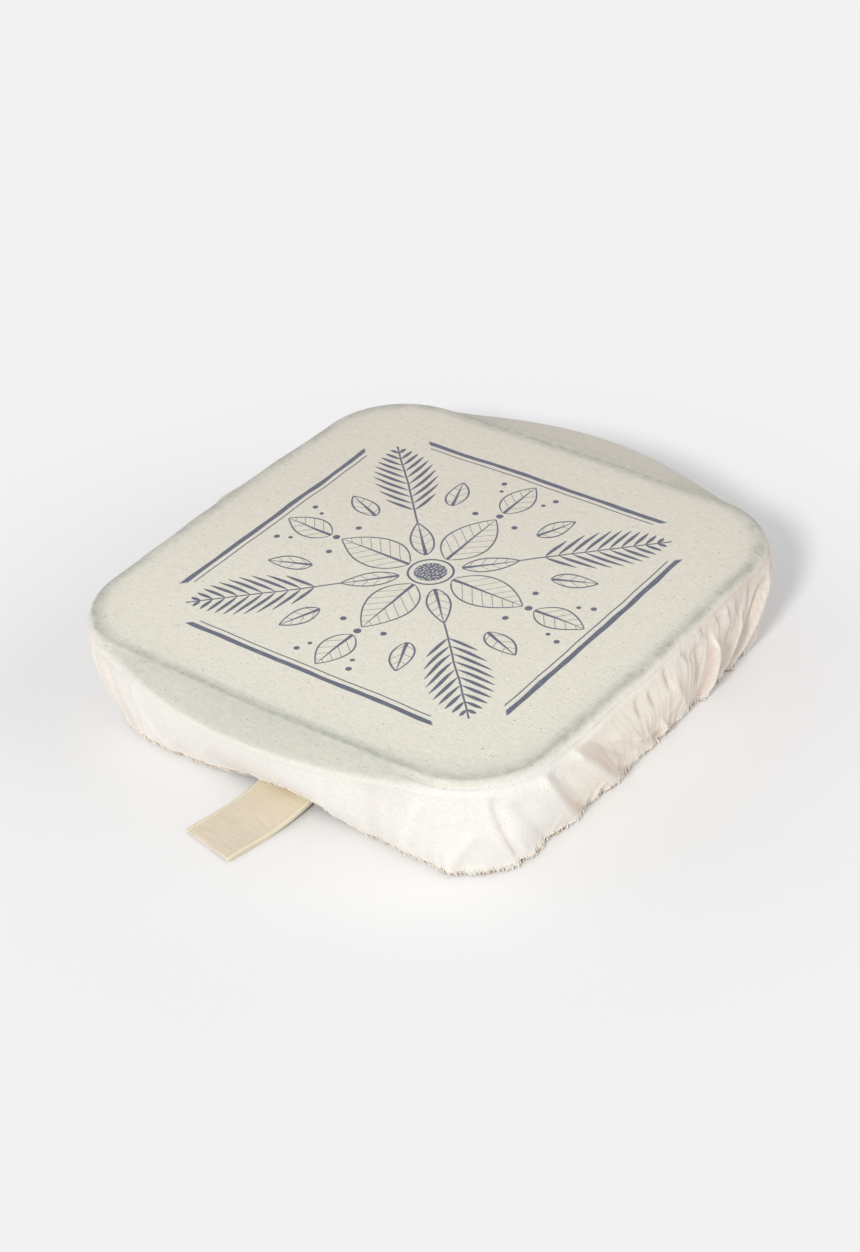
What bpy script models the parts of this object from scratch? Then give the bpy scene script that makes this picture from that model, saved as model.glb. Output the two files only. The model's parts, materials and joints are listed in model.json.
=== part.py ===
"""Elasticated cotton cover, shaped as it sits on a square baking dish with two lugs.

One cloth sheet makes the flat top, the slopes over the two lugs, the gathered skirt
and the hem, which is turned in and up round a flat elastic. A folded ribbon label is
held behind the hem at the front. The front faces -Y, the lugs lie along -Y and +Y,
the hem stands on z = 0, and the origin is under the middle of the whole part.
"""

from __future__ import annotations

import math
from typing import NamedTuple

import bmesh
import bpy
import numpy as np

# Dish that gives the cover its form
RIM_WIDTH = 0.222  # from rim line to rim line, both ways
RIM_CORNER_RADIUS = 0.037
SIDE_BOW = 0.0013  # swell of each side past a straight line
RIM_SWELL = 0.0020  # how far the rim bead stands out past the rim line
BEAD_DROP = 0.0050
LUG_REACH = 0.0170  # past the rim bead
LUG_SPAN = 0.154
LUG_DROP = 0.0026
LUG_END_BLEND = 0.0055  # how softly the cloth leaves the ends of a lug

# Cover
COVER_HEIGHT = 0.0538
HEM_INSET = 0.0095
SKIRT_BELLY = 0.0022
CLOTH_THICKNESS = 0.0006
RIM_CREASE_RADIUS = 0.0015
EDGE_RADIUS = 0.0025
HEM_LIFT_PER_FOLD = 0.3
CLEARANCE = 0.0003  # between pieces that touch

# Elastic inside the hem
ELASTIC_WIDTH = 0.0044
ELASTIC_THICKNESS = 0.0008
ELASTIC_ROOM = 0.0007  # left free on each side of it in the turned hem

# Folded ribbon label
LABEL_WIDTH = 0.027
LABEL_LENGTH = 0.0385  # what shows past the hem
LABEL_ROOT = 0.0065  # what is held behind the hem
LABEL_THICKNESS = 0.0005
LABEL_OFFSET = -0.004  # along the front side, from its middle
LABEL_TURN = math.radians(9)
LABEL_TURN_LENGTH = 0.015
LABEL_FALL_LENGTH = 0.012  # from under the hem to where it lies flat
LABEL_SLACK = 0.0022  # height left under the lifted hem
HEM_PULL_REACH = 0.025  # past each side of the label

# The way round is counted in stations: even ones are the middles of the sides, odd
# ones the middles of the corners, from the front side anticlockwise seen from above.
STATIONS = 8
COLUMNS_PER_STRETCH = (16, 14, 29, 14, 16, 14, 29, 14)
SKIRT_ROWS = 5
LABEL_BEND_STEPS = 4
LABEL_RUN_STEPS = 6


class Fold(NamedTuple):
    """One fold of the skirt, from the rim bead down to the hem."""

    top: float  # station where it starts
    foot: float  # station where it meets the hem
    depth: float  # metres, outward
    width: float  # metres, from its crest to where it has mostly died out


# Folds of half the way round. The other half has them turned by half a circle.
FOLDS = (
    Fold(0.47, 0.35, -0.0010, 0.0060),
    Fold(0.91, 0.66, -0.0012, 0.0060),
    Fold(1.02, 1.28, -0.0022, 0.0048),
    Fold(1.12, 1.44, 0.0020, 0.0060),
    Fold(1.30, 1.60, -0.0012, 0.0050),
    Fold(1.48, 1.71, 0.0028, 0.0055),
    Fold(1.56, 1.80, -0.0015, 0.0050),
    Fold(1.65, 1.89, 0.0030, 0.0068),
    Fold(1.80, 2.02, -0.0014, 0.0060),
    Fold(1.91, 2.13, 0.0018, 0.0060),
    Fold(2.02, 2.21, -0.0010, 0.0050),
    Fold(2.25, 2.29, -0.0020, 0.0050),
    Fold(2.32, 2.37, 0.0025, 0.0050),
    Fold(2.44, 2.42, -0.0012, 0.0045),
    Fold(2.62, 2.46, 0.0016, 0.0045),
    Fold(2.74, 2.54, -0.0016, 0.0045),
    Fold(2.84, 2.70, 0.0020, 0.0048),
    Fold(2.96, 2.84, -0.0018, 0.0048),
    Fold(3.08, 2.98, 0.0021, 0.0052),
    Fold(3.20, 3.14, -0.0015, 0.0052),
    Fold(3.34, 3.30, 0.0013, 0.0060),
    Fold(3.52, 3.54, -0.0009, 0.0065),
)


class Puff(NamedTuple):
    """A place where loose cloth stands off the rim bead."""

    station: float
    depth: float
    width: float


PUFFS = (
    Puff(1.68, 0.0012, 0.010),
    Puff(2.34, 0.0016, 0.007),
    Puff(2.68, 0.0012, 0.007),
    Puff(5.77, 0.0034, 0.014),
    Puff(5.98, 0.0050, 0.008),
    Puff(6.14, 0.0028, 0.008),
    Puff(6.34, 0.0014, 0.009),
)
FOLD_PHASE = 0.78  # share of a half wave that a fold's depth runs through on its way down
FOLD_EASE = 0.9

SIDE_LENGTH = RIM_WIDTH - 2 * RIM_CORNER_RADIUS
CORNER_LENGTH = RIM_CORNER_RADIUS * math.pi / 2
PERIMETER = 4 * (SIDE_LENGTH + CORNER_LENGTH)

# Turned hem, across and along its own depth, from the middle of the cloth
HEM_RADIUS = (ELASTIC_THICKNESS + CLOTH_THICKNESS) / 2 + ELASTIC_ROOM
HEM_CLOSED_GAP = CLOTH_THICKNESS + CLEARANCE
HEM_STRAIGHT = ELASTIC_WIDTH + ELASTIC_ROOM
HEM_CLOSING = 2 * HEM_RADIUS
HEM_TURN_STEPS = 4

LABEL_STACK = 2 * LABEL_THICKNESS + CLEARANCE
HEM_PULL = LABEL_STACK + CLEARANCE + LABEL_SLACK


def smoothstep(value: np.ndarray) -> np.ndarray:
    """Ease from 0 to 1."""
    eased = np.clip(value, 0, 1)
    return eased * eased * (3 - 2 * eased)


def arc_position(station: np.ndarray | float) -> np.ndarray:
    """Distance along the rim line, from the middle of the front side, of a station."""
    edges = np.arange(-0.5, STATIONS, 1.0)
    lengths = np.resize([SIDE_LENGTH, CORNER_LENGTH], STATIONS)
    starts = np.concatenate([[0.0], np.cumsum(lengths)]) - SIDE_LENGTH / 2
    wrapped = (np.asarray(station, dtype=float) + 0.5) % STATIONS - 0.5
    return np.interp(wrapped, edges, starts)


def wrap(distance: np.ndarray, period: float) -> np.ndarray:
    """Signed distance on a closed line of the given length."""
    return (distance + period / 2) % period - period / 2


def rim_line(along: np.ndarray) -> tuple[np.ndarray, np.ndarray]:
    """Points of the rim line and its outward directions, both in plan."""
    half = RIM_WIDTH / 2
    reach = half - RIM_CORNER_RADIUS
    quarter = SIDE_LENGTH + CORNER_LENGTH
    shifted = (along + SIDE_LENGTH / 2) % PERIMETER
    side = np.floor(shifted / quarter)
    local = shifted - side * quarter - SIDE_LENGTH / 2
    on_side = np.clip(local, -SIDE_LENGTH / 2, SIDE_LENGTH / 2)
    angle = (local - on_side) / RIM_CORNER_RADIUS - math.pi / 2
    bow = SIDE_BOW * (1 - (2 * on_side / SIDE_LENGTH) ** 2) ** 2
    x = on_side + RIM_CORNER_RADIUS * np.cos(angle)
    y = -reach + RIM_CORNER_RADIUS * np.sin(angle) - bow
    turn = side * math.pi / 2
    points = np.stack([x * np.cos(turn) - y * np.sin(turn), x * np.sin(turn) + y * np.cos(turn)], axis=-1)
    outward = np.stack([np.cos(angle + turn), np.sin(angle + turn)], axis=-1)
    return points, outward


def lug_reach(along: np.ndarray) -> np.ndarray:
    """How far a lug pushes the cloth out past the rim bead."""
    distance = wrap(along, PERIMETER / 2)
    radius = ((LUG_SPAN / 2) ** 2 + LUG_REACH**2) / (2 * LUG_REACH)
    arc = np.sqrt(np.clip(radius**2 - distance**2, 0, None)) - (radius - LUG_REACH)
    return (arc + np.sqrt(arc**2 + LUG_END_BLEND**2)) / 2


def fold_depth(along: np.ndarray, fall: np.ndarray) -> np.ndarray:
    """Outward push of the folds, at a share of the way from rim bead to hem."""
    push = np.zeros(np.broadcast(along, fall).shape)
    for half_turn in (0, STATIONS // 2):
        for fold in FOLDS:
            start = arc_position(fold.top + half_turn)
            lean = wrap(arc_position(fold.foot + half_turn) - start, PERIMETER)
            offset = wrap(along - start - lean * fall, PERIMETER)
            push += fold.depth * np.exp(-((offset / fold.width) ** 2))
    return push * np.sin(math.pi * FOLD_PHASE * fall**FOLD_EASE)


def puff_depth(along: np.ndarray) -> np.ndarray:
    """Outward push of the loose cloth at the rim bead."""
    push = np.zeros_like(along)
    for puff in PUFFS:
        offset = wrap(along - arc_position(puff.station), PERIMETER)
        push += puff.depth * np.exp(-((offset / puff.width) ** 2))
    return push


def hem_height(along: np.ndarray) -> np.ndarray:
    """Height of the skirt's end above the hem's lowest run."""
    past_label = np.abs(wrap(along - LABEL_OFFSET, PERIMETER)) - LABEL_WIDTH / 2
    pull = HEM_PULL * (1 - smoothstep(past_label / HEM_PULL_REACH))
    folds = HEM_LIFT_PER_FOLD * np.clip(fold_depth(along, np.ones_like(along)), 0, None)
    return pull + folds


def rounded(before: np.ndarray, corner: np.ndarray, after: np.ndarray, radius: float) -> list[np.ndarray]:
    """Three points that round a corner of a section, each an array over the columns."""
    back = (before - corner) / np.linalg.norm(before - corner, axis=-1, keepdims=True)
    on = (after - corner) / np.linalg.norm(after - corner, axis=-1, keepdims=True)
    start = corner + back * radius
    end = corner + on * radius
    return [start, (start + 2 * corner + end) / 4, end]


def skirt_sections(along: np.ndarray) -> np.ndarray:
    """Rows of (outward, up) from the flat top to the end of the skirt, for each column."""
    reach = lug_reach(along)
    share = reach / LUG_REACH
    zero = np.zeros_like(along)
    top = np.stack([zero - RIM_CREASE_RADIUS * 2, zero + COVER_HEIGHT], axis=-1)
    crease = np.stack([zero, zero + COVER_HEIGHT], axis=-1)
    edge_drop = BEAD_DROP + (LUG_DROP - BEAD_DROP) * share
    edge = np.stack([RIM_SWELL + reach + puff_depth(along), COVER_HEIGHT - edge_drop], axis=-1)
    foot = np.stack([zero - HEM_INSET, hem_height(along) + HEM_RADIUS + CLOTH_THICKNESS / 2], axis=-1)

    rows = rounded(top, crease, edge, RIM_CREASE_RADIUS)
    shoulder = rounded(crease, edge, foot, EDGE_RADIUS)
    rows.append((rows[-1] + shoulder[0]) / 2)
    rows += shoulder
    run = foot - shoulder[-1]
    out = np.stack([-run[:, 1], run[:, 0]], axis=-1) / np.linalg.norm(run, axis=-1, keepdims=True)
    for row in range(1, SKIRT_ROWS + 1):
        fall = np.full_like(along, row / SKIRT_ROWS)
        push = fold_depth(along, fall) + SKIRT_BELLY * np.sin(math.pi * fall)
        rows.append(shoulder[-1] + run * fall[:, None] + out * push[:, None])
    return np.stack(rows)


def in_space(along: np.ndarray, sections: np.ndarray) -> np.ndarray:
    """Turn (outward, up) rows into points in space."""
    points, outward = rim_line(along)
    plan = points[None] + sections[..., :1] * outward[None]
    return np.concatenate([plan, sections[..., 1:]], axis=-1)


class HemFrame(NamedTuple):
    """Where the skirt ends, with the directions into the cover and back up the skirt."""

    foot: np.ndarray
    inward: np.ndarray
    upward: np.ndarray

    def at(self, inward: float, upward: float) -> np.ndarray:
        """Points at the given distances from the end of the skirt."""
        return self.foot + self.inward * inward + self.upward * upward


def hem_frame(rows: np.ndarray) -> HemFrame:
    """Frame of the turned hem, square to the last row of the skirt."""
    foot = rows[-1]
    along = np.roll(foot, -1, axis=0) - np.roll(foot, 1, axis=0)
    upward = rows[-2] - foot
    inward = np.cross(upward, along)
    inward /= np.linalg.norm(inward, axis=-1, keepdims=True)
    upward = np.cross(along, inward)
    upward /= np.linalg.norm(upward, axis=-1, keepdims=True)
    return HemFrame(foot, inward, upward)


def hem_rows(frame: HemFrame) -> list[np.ndarray]:
    """Rows of the cloth from the end of the skirt, under the elastic and up behind it."""
    rows = []
    for step in range(1, HEM_TURN_STEPS + 1):
        angle = math.pi * step / HEM_TURN_STEPS
        rows.append(frame.at(HEM_RADIUS * (1 - math.cos(angle)), -HEM_RADIUS * math.sin(angle)))
    rows.append(frame.at(2 * HEM_RADIUS, HEM_STRAIGHT))
    rows.append(frame.at(HEM_CLOSED_GAP, HEM_STRAIGHT + HEM_CLOSING))
    return rows


def lowest_point(frame: HemFrame) -> float:
    """Height of the lowest run of the hem's outer face."""
    return float(min(row[:, 2].min() for row in hem_rows(frame))) - CLOTH_THICKNESS / 2


def column_positions() -> np.ndarray:
    """Positions of the mesh columns along the rim line, closer where the cloth gathers."""
    stations = [
        stretch - 0.5 + (np.arange(count) + 0.5) / count
        for stretch, count in enumerate(COLUMNS_PER_STRETCH)
    ]
    return arc_position(np.concatenate(stations))


def add_material(name: str, colour: tuple[float, float, float], roughness: float) -> bpy.types.Material:
    """A plain Principled material."""
    material = bpy.data.materials.new(name)
    material.use_nodes = True
    shader = material.node_tree.nodes["Principled BSDF"]
    shader.inputs["Base Color"].default_value = (*colour, 1.0)
    shader.inputs["Roughness"].default_value = roughness
    shader.inputs["Metallic"].default_value = 0.0
    return material


def add_object(name: str, mesh_builder: bmesh.types.BMesh, material: bpy.types.Material) -> bpy.types.Object:
    """Turn a bmesh into a smooth named object with its material."""
    mesh = bpy.data.meshes.new(name)
    mesh_builder.to_mesh(mesh)
    mesh_builder.free()
    mesh.materials.append(material)
    mesh.shade_smooth()
    thing = bpy.data.objects.new(name, mesh)
    bpy.context.scene.collection.objects.link(thing)
    return thing


def add_thickness(thing: bpy.types.Object, thickness: float) -> None:
    """Give a sheet its thickness, half to each side."""
    solid = thing.modifiers.new("cloth_thickness", "SOLIDIFY")
    solid.thickness = thickness
    solid.offset = 0.0


def bridge(mesh_builder: bmesh.types.BMesh, rows: list[list], closed: bool) -> None:
    """Quads between each row of vertices and the next."""
    count = len(rows[0])
    for upper, lower in zip(rows, rows[1:]):
        for column in range(count if closed else count - 1):
            following = (column + 1) % count
            mesh_builder.faces.new((upper[column], lower[column], lower[following], upper[following]))


def build_cloth(rows: np.ndarray) -> bpy.types.Object:
    """The cover's one sheet: flat top, shoulders, gathered skirt and turned hem."""
    mesh_builder = bmesh.new()
    everything = list(rows) + hem_rows(hem_frame(rows))
    vertices = [[mesh_builder.verts.new(point) for point in row] for row in everything]
    mesh_builder.faces.new(vertices[0])
    bridge(mesh_builder, vertices, closed=True)
    cotton = add_material("natural_cotton", (0.80, 0.76, 0.66), 0.9)
    cloth = add_object("cover_cloth", mesh_builder, cotton)
    add_thickness(cloth, CLOTH_THICKNESS)
    return cloth


def build_elastic(rows: np.ndarray) -> bpy.types.Object:
    """The flat elastic ring inside the turned hem."""
    frame = hem_frame(rows)
    near = HEM_RADIUS - ELASTIC_THICKNESS / 2
    far = HEM_RADIUS + ELASTIC_THICKNESS / 2
    corners = ((near, 0.0), (far, 0.0), (far, ELASTIC_WIDTH), (near, ELASTIC_WIDTH))
    mesh_builder = bmesh.new()
    vertices = [[mesh_builder.verts.new(point) for point in frame.at(*corner)] for corner in corners]
    bridge(mesh_builder, vertices + [vertices[0]], closed=True)
    rubber = add_material("elastic_white", (0.83, 0.80, 0.74), 0.7)
    elastic = add_object("hem_elastic", mesh_builder, rubber)
    elastic.data.set_sharp_from_angle(angle=math.radians(40))
    return elastic


def label_path(frame: HemFrame, column: int) -> np.ndarray:
    """Middle line of the folded label, as (outward, up) points.

    It runs down behind the hem, turns under it and comes to lie on the standing plane.
    """
    inward = np.array([-frame.inward[column][1], frame.inward[column][2]])
    upward = np.array([-frame.upward[column][1], frame.upward[column][2]])
    hem_middle = frame.at(HEM_RADIUS, 0.0)[column]
    centre = np.array([-hem_middle[1], hem_middle[2]])
    radius = HEM_RADIUS + CLOTH_THICKNESS / 2 + CLEARANCE + LABEL_STACK / 2
    path = [centre + inward * radius + upward * depth for depth in (LABEL_ROOT, LABEL_ROOT / 2)]
    straight_down = math.atan2(upward[1], -inward[1])
    for angle in np.linspace(0.0, straight_down, LABEL_BEND_STEPS + 1):
        path.append(centre + radius * (inward * math.cos(angle) - upward * math.sin(angle)))
    start = path[-1]
    lying = lowest_point(frame) + LABEL_STACK / 2
    end = -frame.foot[column][1] + LABEL_LENGTH
    for share in np.linspace(0.0, 1.0, LABEL_RUN_STEPS + 1)[1:]:
        path.append(np.array([start[0] + (end - start[0]) * share, 0.0]))
    path = np.array(path)
    run = path[-LABEL_RUN_STEPS:]
    run[:, 1] = start[1] + (lying - start[1]) * smoothstep((run[:, 0] - start[0]) / LABEL_FALL_LENGTH)
    return path


def build_label(rows: np.ndarray, columns: np.ndarray) -> bpy.types.Object:
    """The ribbon label, folded over at its free end, with both ends behind the hem."""
    frame = hem_frame(rows)
    column = int(np.argmin(np.abs(wrap(columns - LABEL_OFFSET, PERIMETER))))
    path = label_path(frame, column)
    tangent = np.gradient(path, axis=0)
    tangent /= np.linalg.norm(tangent, axis=-1, keepdims=True)
    normal = np.stack([-tangent[:, 1], tangent[:, 0]], axis=-1)
    half_gap = (LABEL_THICKNESS + CLEARANCE) / 2
    tip_angles = np.radians([-45.0, 0.0, 45.0])
    tip = path[-1] + half_gap * np.stack([np.cos(tip_angles), np.sin(tip_angles)], axis=-1)
    strip = np.concatenate([path - half_gap * normal, tip, (path + half_gap * normal)[::-1]])

    past_hem = np.clip((strip[:, 0] + frame.foot[column][1]) / LABEL_TURN_LENGTH, 0, None)
    eased = np.clip(past_hem, 0, 1)
    angle = LABEL_TURN * smoothstep(past_hem)
    sideways = math.tan(LABEL_TURN) * LABEL_TURN_LENGTH * (past_hem - eased + eased**3 - eased**4 / 2)
    mesh_builder = bmesh.new()
    vertices = []
    for across in (-LABEL_WIDTH / 2, 0.0, LABEL_WIDTH / 2):
        x = LABEL_OFFSET - sideways + across * np.cos(angle)
        y = -strip[:, 0] - across * np.sin(angle)
        vertices.append([mesh_builder.verts.new(point) for point in zip(x, y, strip[:, 1])])
    bridge(mesh_builder, vertices, closed=False)
    ribbon = add_material("label_ribbon", (0.78, 0.68, 0.48), 0.75)
    label = add_object("side_label", mesh_builder, ribbon)
    add_thickness(label, LABEL_THICKNESS)
    return label


def stand_at_origin(frame: bpy.types.Object, pieces: list[bpy.types.Object]) -> None:
    """Put the middle of the part's underside at the origin."""
    bpy.context.view_layer.update()
    graph = bpy.context.evaluated_depsgraph_get()
    corners = np.array([corner for piece in pieces for corner in piece.evaluated_get(graph).bound_box])
    low = corners.min(axis=0)
    high = corners.max(axis=0)
    frame.location = (-(low[0] + high[0]) / 2, -(low[1] + high[1]) / 2, -low[2])
    bpy.context.view_layer.update()


def main() -> None:
    """Clear the scene and build the cover round one frame."""
    for old in list(bpy.context.scene.objects):
        bpy.data.objects.remove(old)
    columns = column_positions()
    rows = in_space(columns, skirt_sections(columns))
    pieces = [build_cloth(rows), build_elastic(rows), build_label(rows, columns)]

    frame = bpy.data.objects.new("cover_frame", None)
    bpy.context.scene.collection.objects.link(frame)
    for piece in pieces:
        piece.parent = frame
    stand_at_origin(frame, pieces)


main()
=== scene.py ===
"""Dresses an elasticated cotton cover, shaped as it sits on a square dish with two lugs.

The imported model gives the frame: sizes, places and the one body that every piece
rides on. Each class below makes one part of the cover as a surface worked out on a
grid, and each finish makes one material. Units are metres, +Z is up.
"""

from __future__ import annotations

import json
import logging
import math
from dataclasses import dataclass, field
from enum import Enum
from typing import Callable

import bpy
import numpy as np
from mathutils import Matrix, Vector

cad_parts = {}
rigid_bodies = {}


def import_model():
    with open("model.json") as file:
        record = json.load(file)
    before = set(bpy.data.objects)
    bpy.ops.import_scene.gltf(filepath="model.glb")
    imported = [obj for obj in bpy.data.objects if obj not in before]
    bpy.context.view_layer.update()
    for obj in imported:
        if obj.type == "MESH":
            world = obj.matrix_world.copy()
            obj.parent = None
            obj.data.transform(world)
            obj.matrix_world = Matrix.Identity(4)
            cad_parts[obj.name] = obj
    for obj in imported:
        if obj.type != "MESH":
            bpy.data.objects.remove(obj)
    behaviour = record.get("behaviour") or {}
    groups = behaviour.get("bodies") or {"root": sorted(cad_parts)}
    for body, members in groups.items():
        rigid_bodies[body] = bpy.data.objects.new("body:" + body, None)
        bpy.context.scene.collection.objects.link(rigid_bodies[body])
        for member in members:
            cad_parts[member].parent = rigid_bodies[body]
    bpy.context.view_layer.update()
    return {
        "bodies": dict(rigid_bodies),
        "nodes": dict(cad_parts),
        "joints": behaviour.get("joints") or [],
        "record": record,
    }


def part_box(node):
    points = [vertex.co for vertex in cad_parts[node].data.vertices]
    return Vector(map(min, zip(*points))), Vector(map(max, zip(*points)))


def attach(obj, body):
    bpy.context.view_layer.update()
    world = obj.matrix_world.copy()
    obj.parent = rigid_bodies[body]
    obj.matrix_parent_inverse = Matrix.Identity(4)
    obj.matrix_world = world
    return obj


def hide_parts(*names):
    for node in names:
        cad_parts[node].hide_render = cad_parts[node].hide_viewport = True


LOG = logging.getLogger("cover")

BODY = "root"
CLOTH_NODE = "cover_cloth"
ELASTIC_NODE = "hem_elastic"
LABEL_NODE = "side_label"
TOP_MOUNT = "top_panel"

Array = np.ndarray

TIP_SHARE = 0.12


class Slot(Enum):
    """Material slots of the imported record."""

    COTTON = "natural_cotton"
    ELASTIC = "elastic_white"
    RIBBON = "label_ribbon"


def srgb(red: float, green: float, blue: float) -> tuple[float, float, float, float]:
    """Turn a colour of 0 to 255 as seen on a screen into the linear one that shaders use.

    Args:
        red: Red, 0 to 255.
        green: Green, 0 to 255.
        blue: Blue, 0 to 255.

    Returns:
        The linear colour with full alpha.
    """
    linear = [
        c / 12.92 if c <= 0.04045 else ((c + 0.055) / 1.055) ** 2.4
        for c in (red / 255, green / 255, blue / 255)
    ]
    return (linear[0], linear[1], linear[2], 1.0)


def smoothstep(value: Array) -> Array:
    """Ease from 0 to 1 as 3v^2 - 2v^3, held at its ends."""
    eased = np.clip(value, 0.0, 1.0)
    return eased * eased * (3 - 2 * eased)


def ease(value: Array, start: Array | float, run: Array | float) -> Array:
    """Ease from 0 at the start to 1 a run further on."""
    return smoothstep((value - start) / run)


def bell(distance: Array, width: Array | float) -> Array:
    """Bell curve e^(-(d / w)^2)."""
    return np.exp(-((distance / width) ** 2))


def wrap(distance: Array, period: float) -> Array:
    """Signed shortest distance on a closed line of the given length."""
    return (distance + period / 2) % period - period / 2


def unit(vectors: Array) -> Array:
    """Vectors of length one along the last axis."""
    return vectors / np.maximum(np.linalg.norm(vectors, axis=-1, keepdims=True), 1e-12)


class Wave:
    """Smooth seeded noise round a closed line: a sum of whole waves of random phase."""

    def __init__(self, seed: int, lowest: int, highest: int, falloff: float = 0.5) -> None:
        """Draw the phases and heights of the waves.

        Args:
            seed: Seed of the draw.
            lowest: Fewest waves round the line.
            highest: Most waves round the line.
            falloff: Power by which a wave's height falls with its count.
        """
        draw = np.random.default_rng(seed)
        self.counts = np.arange(lowest, highest + 1)
        self.phases = draw.uniform(0, 2 * math.pi, len(self.counts))
        heights = draw.uniform(0.5, 1.0, len(self.counts)) * (lowest / self.counts) ** falloff
        self.heights = heights / math.sqrt((heights**2).sum() / 2)

    def at(self, turn: Array) -> Array:
        """Value at a share of a whole turn, about -2 to 2."""
        angles = 2 * math.pi * np.asarray(turn)[..., None] * self.counts + self.phases
        return (np.sin(angles) * self.heights).sum(axis=-1)


@dataclass(frozen=True)
class Fold:
    """One fold of the skirt, with its line given at its start, middle and end.

    Starts and ends are shares of the way from the crease, 0, to the hem, 1. Places along
    the rim line, depth and the widths of its two flanks are in millimetres.
    """

    start: float
    end: float
    at: float
    via: float
    to: float
    depth: float
    before: float
    after: float


@dataclass(frozen=True)
class Run:
    """Part of a gathered side, in metres before and past its station, with soft ends."""

    before: float
    rise: float
    past: float
    fall: float


@dataclass(frozen=True)
class Puff:
    """A place where loose cloth stands off the rim bead."""

    station: float
    depth: float
    width: float


FOLDS = (
    Fold(0.50, 1.0, -22.0, -36.0, -50.0, 0.6, 4.0, 3.0),
    Fold(0.60, 1.0, -46.0, -54.0, -66.0, 0.4, 5.0, 4.0),
    Fold(0.62, 1.0, 30.0, 28.0, 23.0, 0.9, 3.0, 2.0),
    Fold(0.15, 1.0, 61.9, 55.2, 48.5, -0.9, 4.0, 5.0),
    Fold(0.17, 1.0, 78.5, 69.4, 58.5, 1.1, 3.0, 4.5),
    Fold(0.45, 1.0, 96.9, 90.2, 81.9, 1.2, 4.0, 3.0),
    Fold(0.12, 1.0, 104.2, 109.4, 121.5, -1.9, 0.9, 2.2),
    Fold(0.50, 1.0, 110.5, 118.5, 129.0, 0.9, 4.4, 3.0),
    Fold(0.20, 1.0, 112.0, 124.0, 142.0, -1.7, 3.6, 5.0),
    Fold(0.05, 1.0, 123.5, 138.5, 159.0, 3.1, 7.0, 2.4),
    Fold(0.08, 1.0, 128.5, 144.0, 165.0, -1.0, 2.2, 3.4),
    Fold(0.05, 1.0, 141.0, 164.0, 187.5, 3.9, 6.4, 4.0),
    Fold(0.10, 0.96, 150.0, 175.5, 197.0, -1.6, 4.0, 5.5),
    Fold(0.28, 0.92, 168.0, 194.0, 221.0, 1.5, 3.0, 4.4),
    Fold(0.50, 1.0, 187.0, 199.0, 216.0, 1.6, 2.4, 2.4),
    Fold(0.12, 0.50, 186.5, 190.5, 198.0, -1.3, 0.9, 2.8),
    Fold(0.16, 0.52, 196.0, 201.0, 208.0, -1.5, 1.2, 3.0),
    Fold(0.06, 0.44, 206.0, 210.5, 216.0, -1.3, 1.0, 3.2),
    Fold(0.62, 1.0, 203.0, 210.5, 219.0, -1.4, 1.8, 3.0),
    Fold(0.70, 1.0, 213.5, 218.5, 222.5, 1.7, 2.6, 1.3),
    Fold(0.30, 1.0, 214.0, 227.0, 240.0, 1.6, 4.4, 3.8),
    Fold(0.06, 0.40, 219.0, 226.0, 235.0, -1.3, 1.3, 3.4),
    Fold(0.16, 0.80, 232.0, 239.5, 244.0, -2.4, 3.4, 2.2),
    Fold(0.22, 1.0, 244.5, 250.8, 253.0, 3.3, 1.3, 2.8),
    Fold(0.01, 0.30, 234.8, 238.8, 246.0, -1.2, 0.8, 2.4),
    Fold(0.01, 0.34, 245.2, 250.4, 253.0, -1.3, 0.8, 2.4),
    Fold(0.02, 0.32, 255.2, 257.4, 261.5, -1.2, 0.8, 2.4),
    Fold(0.06, 0.46, 262.0, 267.0, 272.5, -1.3, 1.0, 2.8),
    Fold(0.30, 1.0, 259.0, 261.0, 261.5, -1.8, 2.4, 2.4),
    Fold(0.25, 1.0, 270.0, 268.5, 266.0, 1.9, 2.0, 1.8),
    Fold(0.02, 0.44, 274.0, 275.2, 276.2, -1.2, 0.8, 2.4),
    Fold(0.16, 1.0, 284.5, 279.0, 272.0, -2.2, 2.0, 1.6),
    Fold(0.12, 1.0, 289.0, 284.5, 277.5, 2.3, 1.6, 2.6),
    Fold(0.08, 1.0, 296.5, 291.5, 284.0, -2.0, 1.8, 2.2),
    Fold(0.08, 1.0, 303.0, 297.5, 290.5, 2.4, 1.8, 3.0),
    Fold(0.06, 1.0, 312.0, 307.5, 302.0, -1.9, 2.4, 2.4),
    Fold(0.10, 1.0, 321.0, 317.0, 313.0, 2.0, 3.4, 3.4),
    Fold(0.12, 1.0, 333.0, 331.0, 329.0, -1.5, 4.0, 5.0),
    Fold(0.20, 1.0, 352.0, 350.0, 350.5, 1.2, 5.0, 4.0),
)

# Lean of the fine wrinkles from crease to hem, by the place along half the rim line, in mm
LEANS = (
    (0.0, -14.0), (40.0, -20.0), (70.0, -18.0), (104.0, 6.0), (120.0, 18.0),
    (150.0, 40.0), (180.0, 40.0), (215.0, 20.0), (250.0, 6.0), (275.0, -4.0),
    (300.0, -12.0), (340.0, -2.0), (380.0, -8.0), (412.0, -14.0),
)
LEANS_MIDDLE = 206.0

LOOSE_RUN = Run(0.116, 0.034, 0.060, 0.040)
# Run of the painted shade at the far end of the gathered side
FAR_SHADE_RUN = Run(0.050, 0.090, 0.070, 0.030)

PUFFS = (
    Puff(1.68, 0.0012, 0.010),
    Puff(2.34, 0.0016, 0.007),
    Puff(2.68, 0.0012, 0.007),
    Puff(5.77, 0.0034, 0.014),
    Puff(5.98, 0.0050, 0.008),
    Puff(6.14, 0.0028, 0.008),
    Puff(6.34, 0.0014, 0.009),
)


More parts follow.
